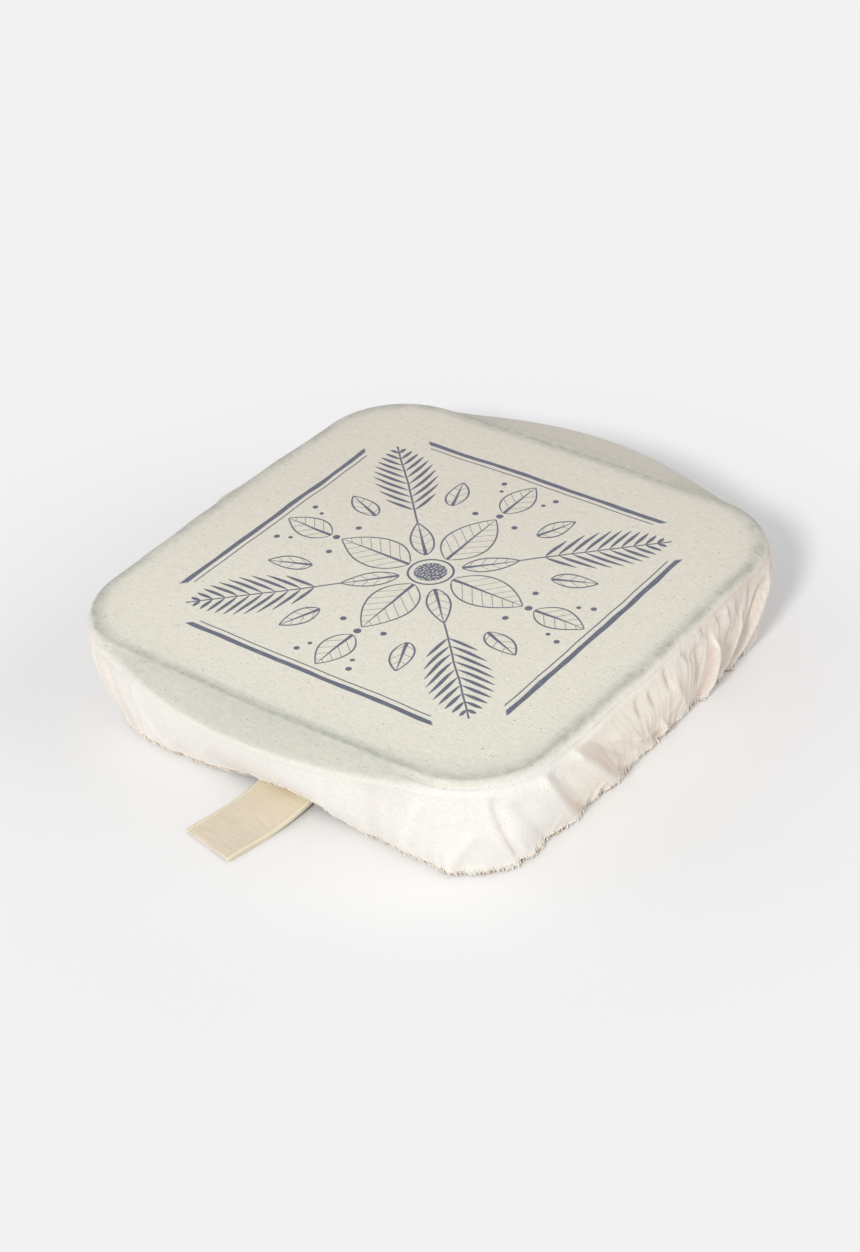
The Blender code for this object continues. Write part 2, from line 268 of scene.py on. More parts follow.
@dataclass
class HemFrame:
    """End of the skirt at each column, with directions into the cover and up the skirt."""

    foot: Array
    inward: Array
    upward: Array

    def at(self, inward: Array | float, upward: Array | float) -> Array:
        """Points at given distances from the end of the skirt: foot + a inward + b upward.

        Args:
            inward: Distance into the cover, one number or one for each column.
            upward: Distance up the skirt, likewise.

        Returns:
            A point for each column.
        """
        across = np.broadcast_to(np.asarray(inward, dtype=float), self.foot.shape[:-1])[..., None]
        along = np.broadcast_to(np.asarray(upward, dtype=float), self.foot.shape[:-1])[..., None]
        return self.foot + self.inward * across + self.upward * along

    def sampled(self, columns: Array, wanted: Array, period: float) -> "HemFrame":
        """The frame between its columns.

        Args:
            columns: Positions of the frame's own columns along the rim line.
            wanted: Positions where the frame is wanted.
            period: Length of the rim line.

        Returns:
            A frame with one entry for each wanted position.
        """
        fields = []
        for values in (self.foot, self.inward, self.upward):
            parts = [
                np.interp(wanted, columns, values[:, axis], period=period) for axis in range(3)
            ]
            fields.append(np.stack(parts, axis=-1))
        return HemFrame(fields[0], unit(fields[1]), unit(fields[2]))


@dataclass
class CoverForm:
    """The form that the cloth takes over the dish, as a function of two parameters.

    The first is the distance along the rim line, from the middle of the front side
    anticlockwise. Stations count it: even ones are the middles of the sides, odd ones
    the middles of the corners. The second runs down the section, from the flat top over
    the crease, the slope of a lug or the bead, the edge and the skirt, to the hem.
    """

    centre: tuple[float, float]
    top: float
    height: float = 0.0538
    rim_width: float = 0.222
    corner_radius: float = 0.037
    side_bow: float = 0.0013
    rim_swell: float = 0.0020
    bead_drop: float = 0.0050
    lug_reach: float = 0.0170
    lug_span: float = 0.154
    lug_drop: float = 0.0026
    lug_end_blend: float = 0.0055
    hem_inset: float = 0.0095
    skirt_belly: float = 0.0022
    cloth_thickness: float = 0.0006
    crease_radius: float = 0.0015
    edge_radius: float = 0.0025
    hem_lift_per_fold: float = 0.3
    hem_radius: float = 0.0014
    hem_straight: float = 0.0051
    label_offset: float = -0.002
    label_width: float = 0.027
    hem_pull: float = 0.0038
    hem_pull_reach: float = 0.028
    hem_tuck: float = 0.0034
    hem_tuck_place: float = 0.006
    hem_tuck_reach: float = 0.042
    stations: int = 8
    columns_per_stretch: tuple[int, ...] = (64, 60, 216, 60, 64, 60, 216, 60)
    skirt_rows: int = 27
    puckers: int = 190
    pucker_seed: int = 11
    pucker_scatter: float = 0.7
    pucker_rise: tuple[float, float] = (0.12, 0.45)
    pucker_depth: tuple[float, float] = (0.0003, 0.0013)
    pucker_width: tuple[float, float] = (0.0012, 0.0014)
    pucker_lean: float = 0.016
    pucker_lean_rise: float = 0.4
    pucker_fall: float = 1.3
    gather_least: float = 0.25
    gather_run: tuple[float, float] = (0.024, 0.050)
    fold_pinch: float = 0.16
    fold_fall: float = 1.25
    fold_crest: float = 0.35
    fold_crest_at_hem: float = 0.9
    fold_shown_at_start: float = 0.12
    near_hem: tuple[float, float] = (0.78, 0.22)
    drawn_share: float = 0.8
    fold_fade_in: float = 0.14
    fold_fade_out: float = 0.16
    fold_eased_at_hem: float = 0.3
    pinch_width: float = 0.85
    pinch_fall: float = 1.3
    drawn_still: float = 0.9
    drawn_place: float = -0.122
    drawn_reach: float = 0.036
    gathered_station: float = 2.25
    wrinkle_seeds: tuple[int, ...] = (31, 32, 33, 34)
    wrinkle_upright: float = 0.4
    wrinkle_still: float = 0.000026
    wrinkle_loose: float = 0.000150

    @property
    def lift(self) -> float:
        """Height of the hem's lowest run above the standing plane."""
        return self.top - self.cloth_thickness / 2 - self.height

    @property
    def side_length(self) -> float:
        """Straight length of one side of the rim line."""
        return self.rim_width - 2 * self.corner_radius

    @property
    def corner_length(self) -> float:
        """Length of one rounded corner of the rim line."""
        return self.corner_radius * math.pi / 2

    @property
    def perimeter(self) -> float:
        """Length of the whole rim line."""
        return 4 * (self.side_length + self.corner_length)

    def position(self, station: Array | float) -> Array:
        """Distance along the rim line of a station, measured straight between the stations.

        Args:
            station: Station, whole or between two.

        Returns:
            Distance in metres.
        """
        edges = np.arange(-0.5, self.stations, 1.0)
        lengths = np.resize([self.side_length, self.corner_length], self.stations)
        starts = np.concatenate([[0.0], np.cumsum(lengths)]) - self.side_length / 2
        wrapped = (np.asarray(station, dtype=float) + 0.5) % self.stations - 0.5
        return np.interp(wrapped, edges, starts)

    def columns(self) -> Array:
        """Positions of the mesh columns, closer together where the cloth gathers.

        Returns:
            Distances along the rim line, evenly spread within each stretch.
        """
        stations = [
            stretch - 0.5 + (np.arange(count) + 0.5) / count
            for stretch, count in enumerate(self.columns_per_stretch)
        ]
        return self.position(np.concatenate(stations))

    def rim_line(self, along: Array) -> tuple[Array, Array]:
        """Rounded square with bowed sides.

        Args:
            along: Positions along the rim line.

        Returns:
            Points and outward directions in plan, about the middle of the cover.
        """
        quarter = self.side_length + self.corner_length
        shifted = (along + self.side_length / 2) % self.perimeter
        side = np.floor(shifted / quarter)
        local = shifted - side * quarter - self.side_length / 2
        on_side = np.clip(local, -self.side_length / 2, self.side_length / 2)
        angle = (local - on_side) / self.corner_radius - math.pi / 2
        bow = self.side_bow * (1 - (2 * on_side / self.side_length) ** 2) ** 2
        x = on_side + self.corner_radius * np.cos(angle)
        y = -self.side_length / 2 + self.corner_radius * np.sin(angle) - bow
        turn = side * math.pi / 2
        points = np.stack(
            [x * np.cos(turn) - y * np.sin(turn), x * np.sin(turn) + y * np.cos(turn)], axis=-1
        )
        return points, np.stack([np.cos(angle + turn), np.sin(angle + turn)], axis=-1)

    def reach(self, along: Array) -> Array:
        """Push of the lugs past the bead.

        It is an arc a of a circle in plan, blended at its ends as (a + sqrt(a^2 + b^2)) / 2.

        Args:
            along: Positions along the rim line.

        Returns:
            Outward push in metres.
        """
        distance = wrap(along, self.perimeter / 2)
        radius = ((self.lug_span / 2) ** 2 + self.lug_reach**2) / (2 * self.lug_reach)
        arc = np.sqrt(np.clip(radius**2 - distance**2, 0, None)) - (radius - self.lug_reach)
        return (arc + np.sqrt(arc**2 + self.lug_end_blend**2)) / 2

    def puff(self, along: Array) -> Array:
        """Push of the loose cloth at the bead: one bell curve for each puff.

        Args:
            along: Positions along the rim line.

        Returns:
            Outward push in metres.
        """
        push = np.zeros_like(along)
        for puff in PUFFS:
            offset = wrap(along - self.position(puff.station), self.perimeter)
            push += puff.depth * bell(offset, puff.width)
        return push

    def fold_push(self, along: Array, share: Array) -> Array:
        """Push of the folds.

        A fold's line is a quadratic curve through its three places. Across it the push
        falls off as e^(-(d / w)^1.25) on each side with that side's width w, with d the
        distance rounded off at the crest, and a raised fold has a narrow pinch along its
        crest. Along it the push fades in and out over a short run. All folds come again
        half a turn round.

        Args:
            along: Positions along the rim line.
            share: Share of the way from the crease, 0, to the hem, 1.

        Returns:
            Outward push in metres.
        """
        push = np.zeros(np.broadcast(along, share).shape)
        near_hem = ease(share, *self.near_hem)
        crest = self.fold_crest + self.fold_crest_at_hem * near_hem
        for half_turn in (0.0, 500 * self.perimeter):
            for fold in FOLDS:
                t = np.clip((share - fold.start) / (fold.end - fold.start), 0, 1)
                line = fold.at * (1 - t) * (1 - 2 * t) + fold.via * 4 * t * (1 - t)
                line = line + fold.to * t * (2 * t - 1)
                offset = wrap(1000 * along - line - half_turn, 1000 * self.perimeter)
                width = np.where(offset < 0, fold.before, fold.after)
                away = np.sqrt(offset**2 + crest**2) - crest
                fade = (share - fold.start) / self.fold_fade_in + self.fold_shown_at_start
                fade = smoothstep(fade)
                if fold.end < 1:
                    fade = fade * smoothstep((fold.end - share) / self.fold_fade_out)
                narrow = np.exp(-((away / self.pinch_width) ** self.pinch_fall))
                pinch = self.fold_pinch * max(fold.depth, 0.0) * narrow * (1 - near_hem)
                side = fold.depth * np.exp(-((away / width) ** self.fold_fall))
                push += (side + pinch) / 1000 * fade
        eased = 1 - self.fold_eased_at_hem * near_hem
        return push * eased * (1 - self.drawn_share * self.drawn(along))

    def wrinkle_push(self, along: Array, share: Array) -> Array:
        """Push of the fine wrinkles that run beside the folds.

        Four rounds of seeded waves, each for one height, blend into each other down the
        skirt. Their crests lean as the folds around them do.

        Args:
            along: Positions along the rim line.
            share: Share of the way from the crease, 0, to the hem, 1.

        Returns:
            Outward push in metres.
        """
        half = 500 * self.perimeter
        place = wrap(1000 * along - LEANS_MIDDLE, half) + LEANS_MIDDLE
        lean = np.interp(place, *zip(*LEANS)) / 1000
        turn = (along - lean * (share - self.wrinkle_upright)) / self.perimeter
        patch = np.clip(0.6 + 0.35 * Wave(41, 5, 26).at(along / self.perimeter), 0.15, 1.3)
        rounds = [Wave(seed, 70, 300, 0.9).at(turn) for seed in self.wrinkle_seeds]
        height = np.clip(share, 0, 1) * (len(rounds) - 1)
        push = np.zeros(np.broadcast(along, share).shape)
        for number, waves in enumerate(rounds):
            push += waves * smoothstep(1 - np.abs(height - number))
        loose = self.within(along, LOOSE_RUN)
        return push * patch * (self.wrinkle_still + self.wrinkle_loose * loose)

    def within(self, along: Array, run: Run) -> Array:
        """Mask of a run on both gathered sides, faded where the corner is drawn smooth.

        Args:
            along: Positions along the rim line.
            run: The run, about the gathered side's own station.

        Returns:
            Numbers from 0 to 1.
        """
        place = wrap(along - self.position(self.gathered_station), self.perimeter / 2)
        ends = ease(place, -run.before, run.rise) * (1 - ease(place, run.past, run.fall))
        return ends * (1 - self.drawn_still * self.drawn(along))

    def drawn(self, along: Array) -> Array:
        """How smoothly the corner left of the label is drawn: a bell, 1 at its middle."""
        return np.exp(-((wrap(along - self.drawn_place, self.perimeter) / self.drawn_reach) ** 4))

    def pucker_push(self, along: Array, share: Array) -> Array:
        """Push of the small puckers that rise from the hem.

        Each is a narrow crest across a leaning line, strongest at the hem and dying out
        part of the way up. Most of them are on the gathered sides and the corners.

        Args:
            along: Positions along the rim line.
            share: Share of the way from the crease, 0, to the hem, 1.

        Returns:
            Outward push in metres, never inward.
        """
        draw = np.random.default_rng(self.pucker_seed)
        push = np.zeros(np.broadcast(along, share).shape)
        pitch = self.perimeter / self.puckers
        gather = self.gather(np.arange(self.puckers) * pitch)
        for number in range(self.puckers):
            place, lean, height, width, depth = draw.uniform(0, 1, 5)
            foot = (number + self.pucker_scatter * (place - 0.5)) * pitch
            rise = self.pucker_rise[0] + self.pucker_rise[1] * height**2
            strength = self.pucker_depth[0] + self.pucker_depth[1] * depth
            half_width = self.pucker_width[0] + self.pucker_width[1] * width
            up = np.clip((1 - share) / rise, 0, 1)
            aside = (lean - 0.5) * self.pucker_lean * up * rise / self.pucker_lean_rise
            crest = bell(wrap(along - foot - aside, self.perimeter), half_width * (1 + up))
            push += gather[number] * strength * crest * (1 - up) ** self.pucker_fall
        return push

    def gather(self, along: Array) -> Array:
        """How closely the hem gathers: 1 on the open sides and corners, little along the lugs.

        Args:
            along: Positions along the rim line.

        Returns:
            Numbers up to 1.
        """
        gathered = ease(np.abs(wrap(along, self.perimeter / 2)), *self.gather_run)
        smooth = 1 - self.drawn_share * self.drawn(along)
        return self.gather_least + (1 - self.gather_least) * gathered * smooth

    def hem_height(self, along: Array) -> Array:
        """Height of the skirt's end above the hem's lowest run.

        The label pulls it up, and so does each raised fold, by part of its depth.

        Args:
            along: Positions along the rim line.

        Returns:
            Height in metres.
        """
        past_label = np.abs(wrap(along - self.label_offset, self.perimeter)) - self.label_width / 2
        pull = self.hem_pull * (1 - smoothstep(past_label / self.hem_pull_reach))
        raised = np.clip(self.fold_push(along, np.ones_like(along)), 0, None)
        return pull + self.hem_lift_per_fold * raised

    def section_corners(self, along: Array) -> tuple[Array, Array, Array, Array]:
        """The four points, as (outward, up), that each column's section runs through.

        Args:
            along: Positions along the rim line.

        Returns:
            The last flat point, the crease, the edge of the bead or lug, and the foot.
        """
        reach = self.reach(along)
        zero = np.zeros_like(along)
        flat = np.stack([zero - 2 * self.crease_radius, zero + self.height], axis=-1)
        crease = np.stack([zero, zero + self.height], axis=-1)
        drop = self.bead_drop + (self.lug_drop - self.bead_drop) * reach / self.lug_reach
        edge = np.stack([self.rim_swell + reach + self.puff(along), self.height - drop], axis=-1)
        foot_height = self.hem_height(along) + self.hem_radius + self.cloth_thickness / 2
        past_tuck = wrap(along - self.label_offset - self.hem_tuck_place, self.perimeter)
        tuck = self.hem_tuck * bell(past_tuck, self.hem_tuck_reach)
        foot = np.stack([-self.hem_inset - tuck, foot_height], axis=-1)
        return flat, crease, edge, foot

    def in_space(self, along: Array, sections: Array) -> Array:
        """Turn rows of (outward, up) into points in space.

        Args:
            along: Positions of the columns along the rim line.
            sections: Rows of (outward, up), outward from the rim line.

        Returns:
            Points, in the same order.
        """
        points, outward = self.rim_line(along)
        plan = points[None] + sections[..., :1] * outward[None] + np.array(self.centre)
        return np.concatenate([plan, sections[..., 1:] + self.lift], axis=-1)


def rounded(before: Array, corner: Array, after: Array, radius: float, steps: int) -> list[Array]:
    """Round a corner of a section with a quadratic curve that starts and ends a radius away.

    Args:
        before: Point before the corner, for each column.
        corner: The corner, for each column.
        after: Point after the corner, for each column.
        radius: Distance from the corner to each end of the curve.
        steps: How many parts the curve has.

    Returns:
        The curve's points in order.
    """
    start = corner + unit(before - corner) * radius
    end = corner + unit(after - corner) * radius
    shares = np.linspace(0, 1, steps + 1)
    return [(1 - t) ** 2 * start + 2 * t * (1 - t) * corner + t * t * end for t in shares]


@dataclass
class Sheet:
    """Rows of points with the values that its finish reads at each of them."""

    rows: Array
    cloth: Array
    values: dict[str, Array] = field(default_factory=dict)


def grid_faces(rows: int, columns: int, closed: bool) -> Array:
    """Quads of a grid of vertices numbered row by row.

    Args:
        rows: Rows of the grid.
        columns: Columns of the grid.
        closed: Whether the last column joins the first.

    Returns:
        Four vertex numbers for each quad.
    """
    upper = np.arange(rows - 1)[:, None] * columns
    left = np.arange(columns if closed else columns - 1)[None, :]
    right = (left + 1) % columns
    return np.stack(
        [upper + left, upper + columns + left, upper + columns + right, upper + right], axis=-1
    ).reshape(-1, 4)


def new_piece(name: str, points: Array, quads: Array, smooth: bool = True) -> bpy.types.Object:
    """Make a mesh object from arrays.

    Args:
        name: The piece's name.
        points: Vertices, one in each row.
        quads: Faces of four vertices, one in each row.
        smooth: Whether its faces are shaded smooth.

    Returns:
        The object, linked to the scene, at the origin.
    """
    mesh = bpy.data.meshes.new(name)
    mesh.vertices.add(len(points))
    mesh.vertices.foreach_set("co", np.asarray(points, dtype=np.float32).ravel())
    mesh.loops.add(quads.size)
    mesh.loops.foreach_set("vertex_index", quads.astype(np.int32).ravel())
    mesh.polygons.add(len(quads))
    mesh.polygons.foreach_set("loop_start", np.arange(0, quads.size, 4, dtype=np.int32))
    mesh.polygons.foreach_set("use_smooth", np.full(len(quads), smooth))
    mesh.update(calc_edges=True)
    mesh.validate()
    piece = bpy.data.objects.new(name, mesh)
    bpy.context.scene.collection.objects.link(piece)
    return piece


def set_value(piece: bpy.types.Object, name: str, values: Array) -> None:
    """Give each vertex of a piece a number that its finish reads, under the given name."""
    attribute = piece.data.attributes.new(name, "FLOAT", "POINT")
    attribute.data.foreach_set("value", np.asarray(values, dtype=np.float32).ravel())


def set_uv(piece: bpy.types.Object, cloth: Array) -> None:
    """Give a piece a UV map in metres.

    Args:
        piece: The piece.
        cloth: Place on the flat cloth, two numbers for each vertex.
    """
    layer = piece.data.uv_layers.new(name="cloth")
    corners = np.empty(len(piece.data.loops), dtype=np.int32)
    piece.data.loops.foreach_get("vertex_index", corners)
    layer.data.foreach_set("uv", np.asarray(cloth, dtype=np.float32)[corners].ravel())


def dress(
    piece: bpy.types.Object, material: bpy.types.Material, slot: Slot, *nodes: str
) -> bpy.types.Object:
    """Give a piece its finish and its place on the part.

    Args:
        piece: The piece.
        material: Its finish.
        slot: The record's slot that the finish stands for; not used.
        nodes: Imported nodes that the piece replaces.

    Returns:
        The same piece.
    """
    piece.data.materials.append(material)
    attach(piece, BODY)
    if nodes:
        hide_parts(*nodes)
    return piece


def tube(paths: Array, aside: Array, radius: float, sides: int) -> tuple[Array, Array]:
    """Closed tubes along many paths at once.

    Each path point has a ring p + r (a cos t + b sin t), where a and b are square to the
    path and a is square to the given direction too.

    Args:
        paths: Points, as (tube, step, 3).
        aside: Direction that isn't along the path, one or one for each point.
        radius: Radius of the tubes.
        sides: Corners of each ring.

    Returns:
        Vertices and quads. The ends taper to a thin tip, which closes them.
    """
    tangent = unit(np.gradient(paths, axis=1))
    across = unit(np.cross(tangent, aside))
    other = np.cross(across, tangent)
    count, steps = paths.shape[:2]
    angles = np.arange(sides) * 2 * math.pi / sides
    size = np.full((count, steps), radius)
    size[:, [0, -1]] *= TIP_SHARE
    ring = across[:, :, None] * np.cos(angles)[:, None]
    ring = ring + other[:, :, None] * np.sin(angles)[:, None]
    points = (paths[:, :, None] + ring * size[:, :, None, None]).reshape(-1, 3)
    one = grid_faces(steps, sides, closed=True)
    starts = np.arange(count)[:, None, None] * steps * sides
    quads = (one[None] + starts).reshape(-1, 4)
    first = np.arange(4)[::-1]
    last = (steps - 1) * sides + np.arange(4)
    caps = np.stack([first, last])[None] + starts
    return points, np.concatenate([quads, caps.reshape(-1, 4)])


@dataclass(frozen=True)
class DishLineAndShade:
    """How the dish shows through the cloth along the crease, with painted shade below the crease:
    places and widths in metres, strengths of 1.
    """

    corner_width: float = 0.045
    inset: float = 0.0010
    corner_inset: float = 0.0016
    wander: float = 0.0003
    line_width: float = 0.0012
    gathered_width: float = 0.0004
    gaps: float = 0.30
    haze_width: float = 0.0052
    haze: tuple[float, float, float] = (0.18, 0.08, 0.12)
    second_place: float = 0.0031
    second_wander: float = 0.0002
    second_width: float = 0.00045
    second: float = 0.34
    # Where the painted shade below the crease gathers at a lug's ends, how it falls off, and where
    # it lies above a lug's edge
    lug_end_place: float = 0.066
    lug_end_width: float = 0.017
    line_fall: tuple[float, float] = (0.0050, 0.0025)
    edge_inset: float = 0.0012
    edge_width: float = 0.0022
    # Strengths of the painted shade on a lug, at a lug's ends and above its edge
    shades: tuple[float, float, float] = (0.62, 0.36, 0.50)
    hem: tuple[float, float] = (0.93, 0.07)


@dataclass
class CoverCloth:
    """The cover's one cloth: flat top, lug slopes, gathered skirt and turned hem."""

    form: CoverForm
    top_rings: tuple[float, ...] = (0.02, 0.3, 0.6, 0.8, 0.9, 0.96)
    crease_steps: int = 4
    slope_shares: tuple[float, ...] = (0.2, 0.4, 0.6, 0.8)
    shoulder_steps: int = 5
    closing_gap: float = 0.0003
    fold_start: tuple[float, float] = (0.0004, 0.0060)
    wrinkle_start: tuple[float, float] = (0.002, 0.008)
    bend_spans: tuple[tuple[int, float], ...] = ((1, 0.00012), (5, 0.0022))
    flank_slope: float = 0.55
    turn_steps: int = 6
    swell_under: float = 0.75
    swell_above: float = 0.6
    floor_gap: float = 0.00002
    flat_cut: tuple[float, float] = (0.37, 0.40)
    flat_area: float = 0.122
    marks: DishLineAndShade = DishLineAndShade()

    @property
    def foot_row(self) -> int:
        """Number of the row at the end of the skirt."""
        rounded_rows = self.crease_steps + 1 + len(self.slope_shares) + self.shoulder_steps + 1
        return len(self.top_rings) + rounded_rows + self.form.skirt_rows - 1

    def sections(self, along: Array) -> tuple[Array, Array]:
        """Rows of (outward, up) from the flat top to the end of the skirt.

        The section is made of rounded corners and straight runs. Each row then moves out
        square to the section by its folds, and the skirt by a belly of b sin(pi t).

        Args:
            along: Positions of the columns along the rim line.

        Returns:
            The rows, and each vertex's share of the way from the crease to the hem.
        """
        form = self.form
        flat, crease, edge, foot = form.section_corners(along)
        rows = rounded(flat, crease, edge, form.crease_radius, self.crease_steps)
        shoulder = rounded(crease, edge, foot, form.edge_radius, self.shoulder_steps)
        rows += [rows[-1] + (shoulder[0] - rows[-1]) * share for share in self.slope_shares]
        rows += shoulder
        falls = np.linspace(0, 1, form.skirt_rows + 1)[1:]
        rows += [shoulder[-1] + (foot - shoulder[-1]) * fall for fall in falls]
        rows = np.stack(rows)
        steps = np.linalg.norm(np.diff(rows, axis=0), axis=-1)
        past = np.concatenate([np.zeros((1, len(along))), np.cumsum(steps, axis=0)])
        past = past - form.crease_radius
        share = np.clip(past / past[-1], 0, 1)
        tangent = unit(np.gradient(rows, axis=0))
        out = np.stack([-tangent[..., 1], tangent[..., 0]], axis=-1)
        fall = np.concatenate([np.zeros(len(rows) - len(falls)), falls])[:, None]
        push = form.fold_push(along, share) * ease(past, *self.fold_start)
        push = push + form.wrinkle_push(along, share) * ease(past, *self.wrinkle_start)
        push = push + form.skirt_belly * np.sin(math.pi * fall)
        return rows + out * push[..., None], share

    def hem_frame(self, rows: Array) -> HemFrame:
        """Frame of the turned hem, square to the last row of the skirt over a few columns.

        Args:
            rows: Points of the skirt, before its puckers.

        Returns:
            The frame.
        """
        foot = rows[-1]
        along = sum(np.roll(foot, -k, axis=0) - np.roll(foot, k, axis=0) for k in range(2, 8))
        inward = unit(np.cross(rows[-3] - foot, along))
        inward = unit(sum(np.roll(inward, k, axis=0) for k in range(-3, 4)))
        return HemFrame(foot, inward, unit(np.cross(along, inward)))

    def hem_rows(self, frame: HemFrame, bulge: Array) -> list[Array]:
        """Rows from the end of the skirt, round the elastic and up behind it.

        Args:
            frame: Frame of the hem.
            bulge: How far the puckers swell the hem, for each column.

        Returns:
            Rows along a half circle, then up the inside, closing towards the skirt.
        """
        form = self.form
        radius = form.hem_radius
        rows = []
        for angle in np.linspace(0, math.pi, self.turn_steps + 1)[1:]:
            swell = bulge * (1 - self.swell_under * math.sin(angle))
            across = radius - (radius + swell) * math.cos(angle)
            rows.append(frame.at(across, -radius * math.sin(angle)))
        rows.append(frame.at(2 * radius + bulge, form.hem_straight * 0.5))
        rows.append(frame.at(2 * radius + self.swell_above * bulge, form.hem_straight))
        closed = form.cloth_thickness + self.closing_gap
        rows.append(frame.at(closed, form.hem_straight + 2 * radius))
        return rows

    def surface(self, along: Array) -> tuple[Sheet, HemFrame]:
        """The whole sheet as rows of points.

        Args:
            along: Positions of the columns along the rim line.

        Returns:
            The sheet, and the frame of its hem.
        """
        form = self.form
        sections, share = self.sections(along)
        base = form.in_space(along, sections)
        frame = self.hem_frame(base)
        bulge = form.pucker_push(along, np.ones_like(along))
        skirt = base - frame.inward * form.pucker_push(along, share)[..., None]
        middle = np.array([*form.centre, form.top - form.cloth_thickness / 2])
        rings = [middle + (base[0] - middle) * share for share in self.top_rings]
        rows = np.stack(rings + list(skirt) + self.hem_rows(frame, bulge))
        rows[..., 2] = np.maximum(rows[..., 2], form.cloth_thickness / 2 + self.floor_gap)

        steps = np.linalg.norm(np.diff(rows[len(rings) :], axis=0), axis=-1)
        down = np.concatenate([np.zeros((1, len(along))), np.cumsum(steps, axis=0)])
        down = down - form.crease_radius
        points, outward = form.rim_line(along)
        flat_plan = points[None] + outward[None] * down[..., None]
        cloth = np.concatenate([np.stack(rings)[..., :2] - np.array(form.centre), flat_plan])
        inset = np.array(self.top_rings)[:, None] * np.ones_like(along)
        past = np.concatenate([-form.crease_radius - (1 - inset) * form.rim_width / 2, down])
        hem = np.ones((len(rows) - len(rings) - len(share), len(along)))
        whole = np.concatenate([np.zeros_like(inset), share, hem])
        return Sheet(rows, cloth, self.tones_and_painted_light(along, past, whole)), frame

    def tones_and_painted_light(self, along: Array, past: Array, share: Array) -> dict[str, Array]:
        """Numbers that the finish reads: where the dish shows through and where the skirt is.

        A soft grey-green line runs just inside the crease, steady round the front and broken up
        along the gathered sides, with a thin second line below it: the dish's rim seen through
        the cloth, and painted crease shade. Painted shade also falls from the crease down each
        lug, most at its ends, and lies above its edge. The slope over a lug has an even tone of
        its own. The gathered side is painted lighter and warmer for the little light it gets,
        with painted shade on its far end.

        Args:
            along: Positions of the columns.
            past: Distance down the section from the rim line, for each vertex.
            share: Share of the way from the crease to the hem, for each vertex.

        Returns:
            Named values for each vertex.
        """
        form, marks = self.form, self.marks
        turn = along / form.perimeter
        reach = form.reach(along)
        lug = np.clip(reach / form.lug_reach, 0, 1)
        gather = form.gather(along)
        smudge = Wave(3, 10, 60, 0.3).at(turn)
        wander = Wave(8, 5, 30).at(turn)
        corner = bell(wrap(along - form.position(1.0), form.perimeter), marks.corner_width)
        centre = -marks.inset - marks.corner_inset * corner + marks.wander * wander * gather
        width = marks.line_width + marks.gathered_width * gather
        broken = 1 - marks.gaps * gather * (1 - corner) * (1 + np.clip(0.6 * smudge, -1, 1))
        # Grey-green line just inside the crease: the dish's rim seen through, and painted crease
        # shade
        line = bell(past - centre, width) * broken
        even, on_gathers, on_corner = marks.haze
        haze = even + on_gathers * gather + on_corner * corner
        haze = bell(past - centre, marks.haze_width) * haze
        second = past - marks.second_place - marks.second_wander * wander
        second = bell(second, marks.second_width) * marks.second * (1 - lug)
        skirt = smoothstep((past - reach + 0.0003 + 0.0034 * lug) / (0.0026 + 0.0066 * lug))
        band = lug**0.5 * smoothstep((past - 0.0002) / 0.002) * (1 - skirt)
        from_front = np.abs(wrap(along, form.perimeter / 2))
        lug_end = bell(from_front - marks.lug_end_place, marks.lug_end_width)
        fall, end_fall = marks.line_fall
        near_line = np.exp(-np.clip(past - centre, 0, None) / (fall + end_fall * lug_end))
        near_edge = bell(past - reach + marks.edge_inset, marks.edge_width)
        near_edge = near_edge * (0.25 + 0.75 * (1 - lug))
        on_lug, on_end, on_edge = marks.shades
        # Painted shade below the crease on the lugs and at their ends, and above a lug's edge
        shade = (on_lug * lug**0.5 + on_end * lug_end) * near_line + on_edge * lug**0.5 * near_edge
        shade = np.clip(shade, 0, 1) * smoothstep(past / 0.001)
        return {
            # The line along the crease, its haze and the painted shade below it
            "dish_line": np.clip(line + second * (1 - line) + np.maximum(haze, shade), 0, 1),
            "lug_band": np.clip(band, 0, 1),
            "skirt": skirt,
            # Where the skirt is painted lighter and its folds' painted shade is stronger
            "gathered": np.broadcast_to(form.within(along, LOOSE_RUN), past.shape),
            # Where painted shade lies at the far end of the gathered side
            "dim": np.broadcast_to(form.within(along, FAR_SHADE_RUN), past.shape),
            "hem": ease(share, *marks.hem),
        }

    def bends(self, rows: Array) -> Array:
        """How far each vertex lies in a valley, above 0, or on a crest, below 0.

        It is the second difference of the points along the rim, taken over two spans,
        along the outward normal.

        Args:
            rows: The sheet's points.

        Returns:
            The bend of each vertex, about -1 to 1.
        """
        normal = self.outward(rows)
        depth = np.zeros(rows.shape[:2])
        for span, scale in self.bend_spans:
            bend = np.roll(rows, span, axis=1) + np.roll(rows, -span, axis=1) - 2 * rows
            depth += np.clip((bend * normal).sum(axis=-1) / scale, -1.0, 1.0)
        return depth / len(self.bend_spans)

    def flanks(self, rows: Array, along: Array) -> Array:
        """How far each vertex faces along the rim, past a fold's crest.

        Args:
            rows: The sheet's points.
            along: Positions of the columns along the rim line.

        Returns:
            Numbers from 0 to 1.
        """
        _, outward = self.form.rim_line(along)
        onward = np.stack([-outward[:, 1], outward[:, 0], np.zeros_like(along)], axis=-1)
        return smoothstep((self.outward(rows) * onward).sum(axis=-1) / self.flank_slope)

    def outward(self, rows: Array) -> Array:
        """Outward normals of the sheet: the cross product of its steps down and along.

        Args:
            rows: The sheet's points.

        Returns:
            A unit vector for each point.
        """
        down = np.gradient(rows, axis=0)
        return unit(np.cross(down, np.roll(rows, -1, axis=1) - np.roll(rows, 1, axis=1)))

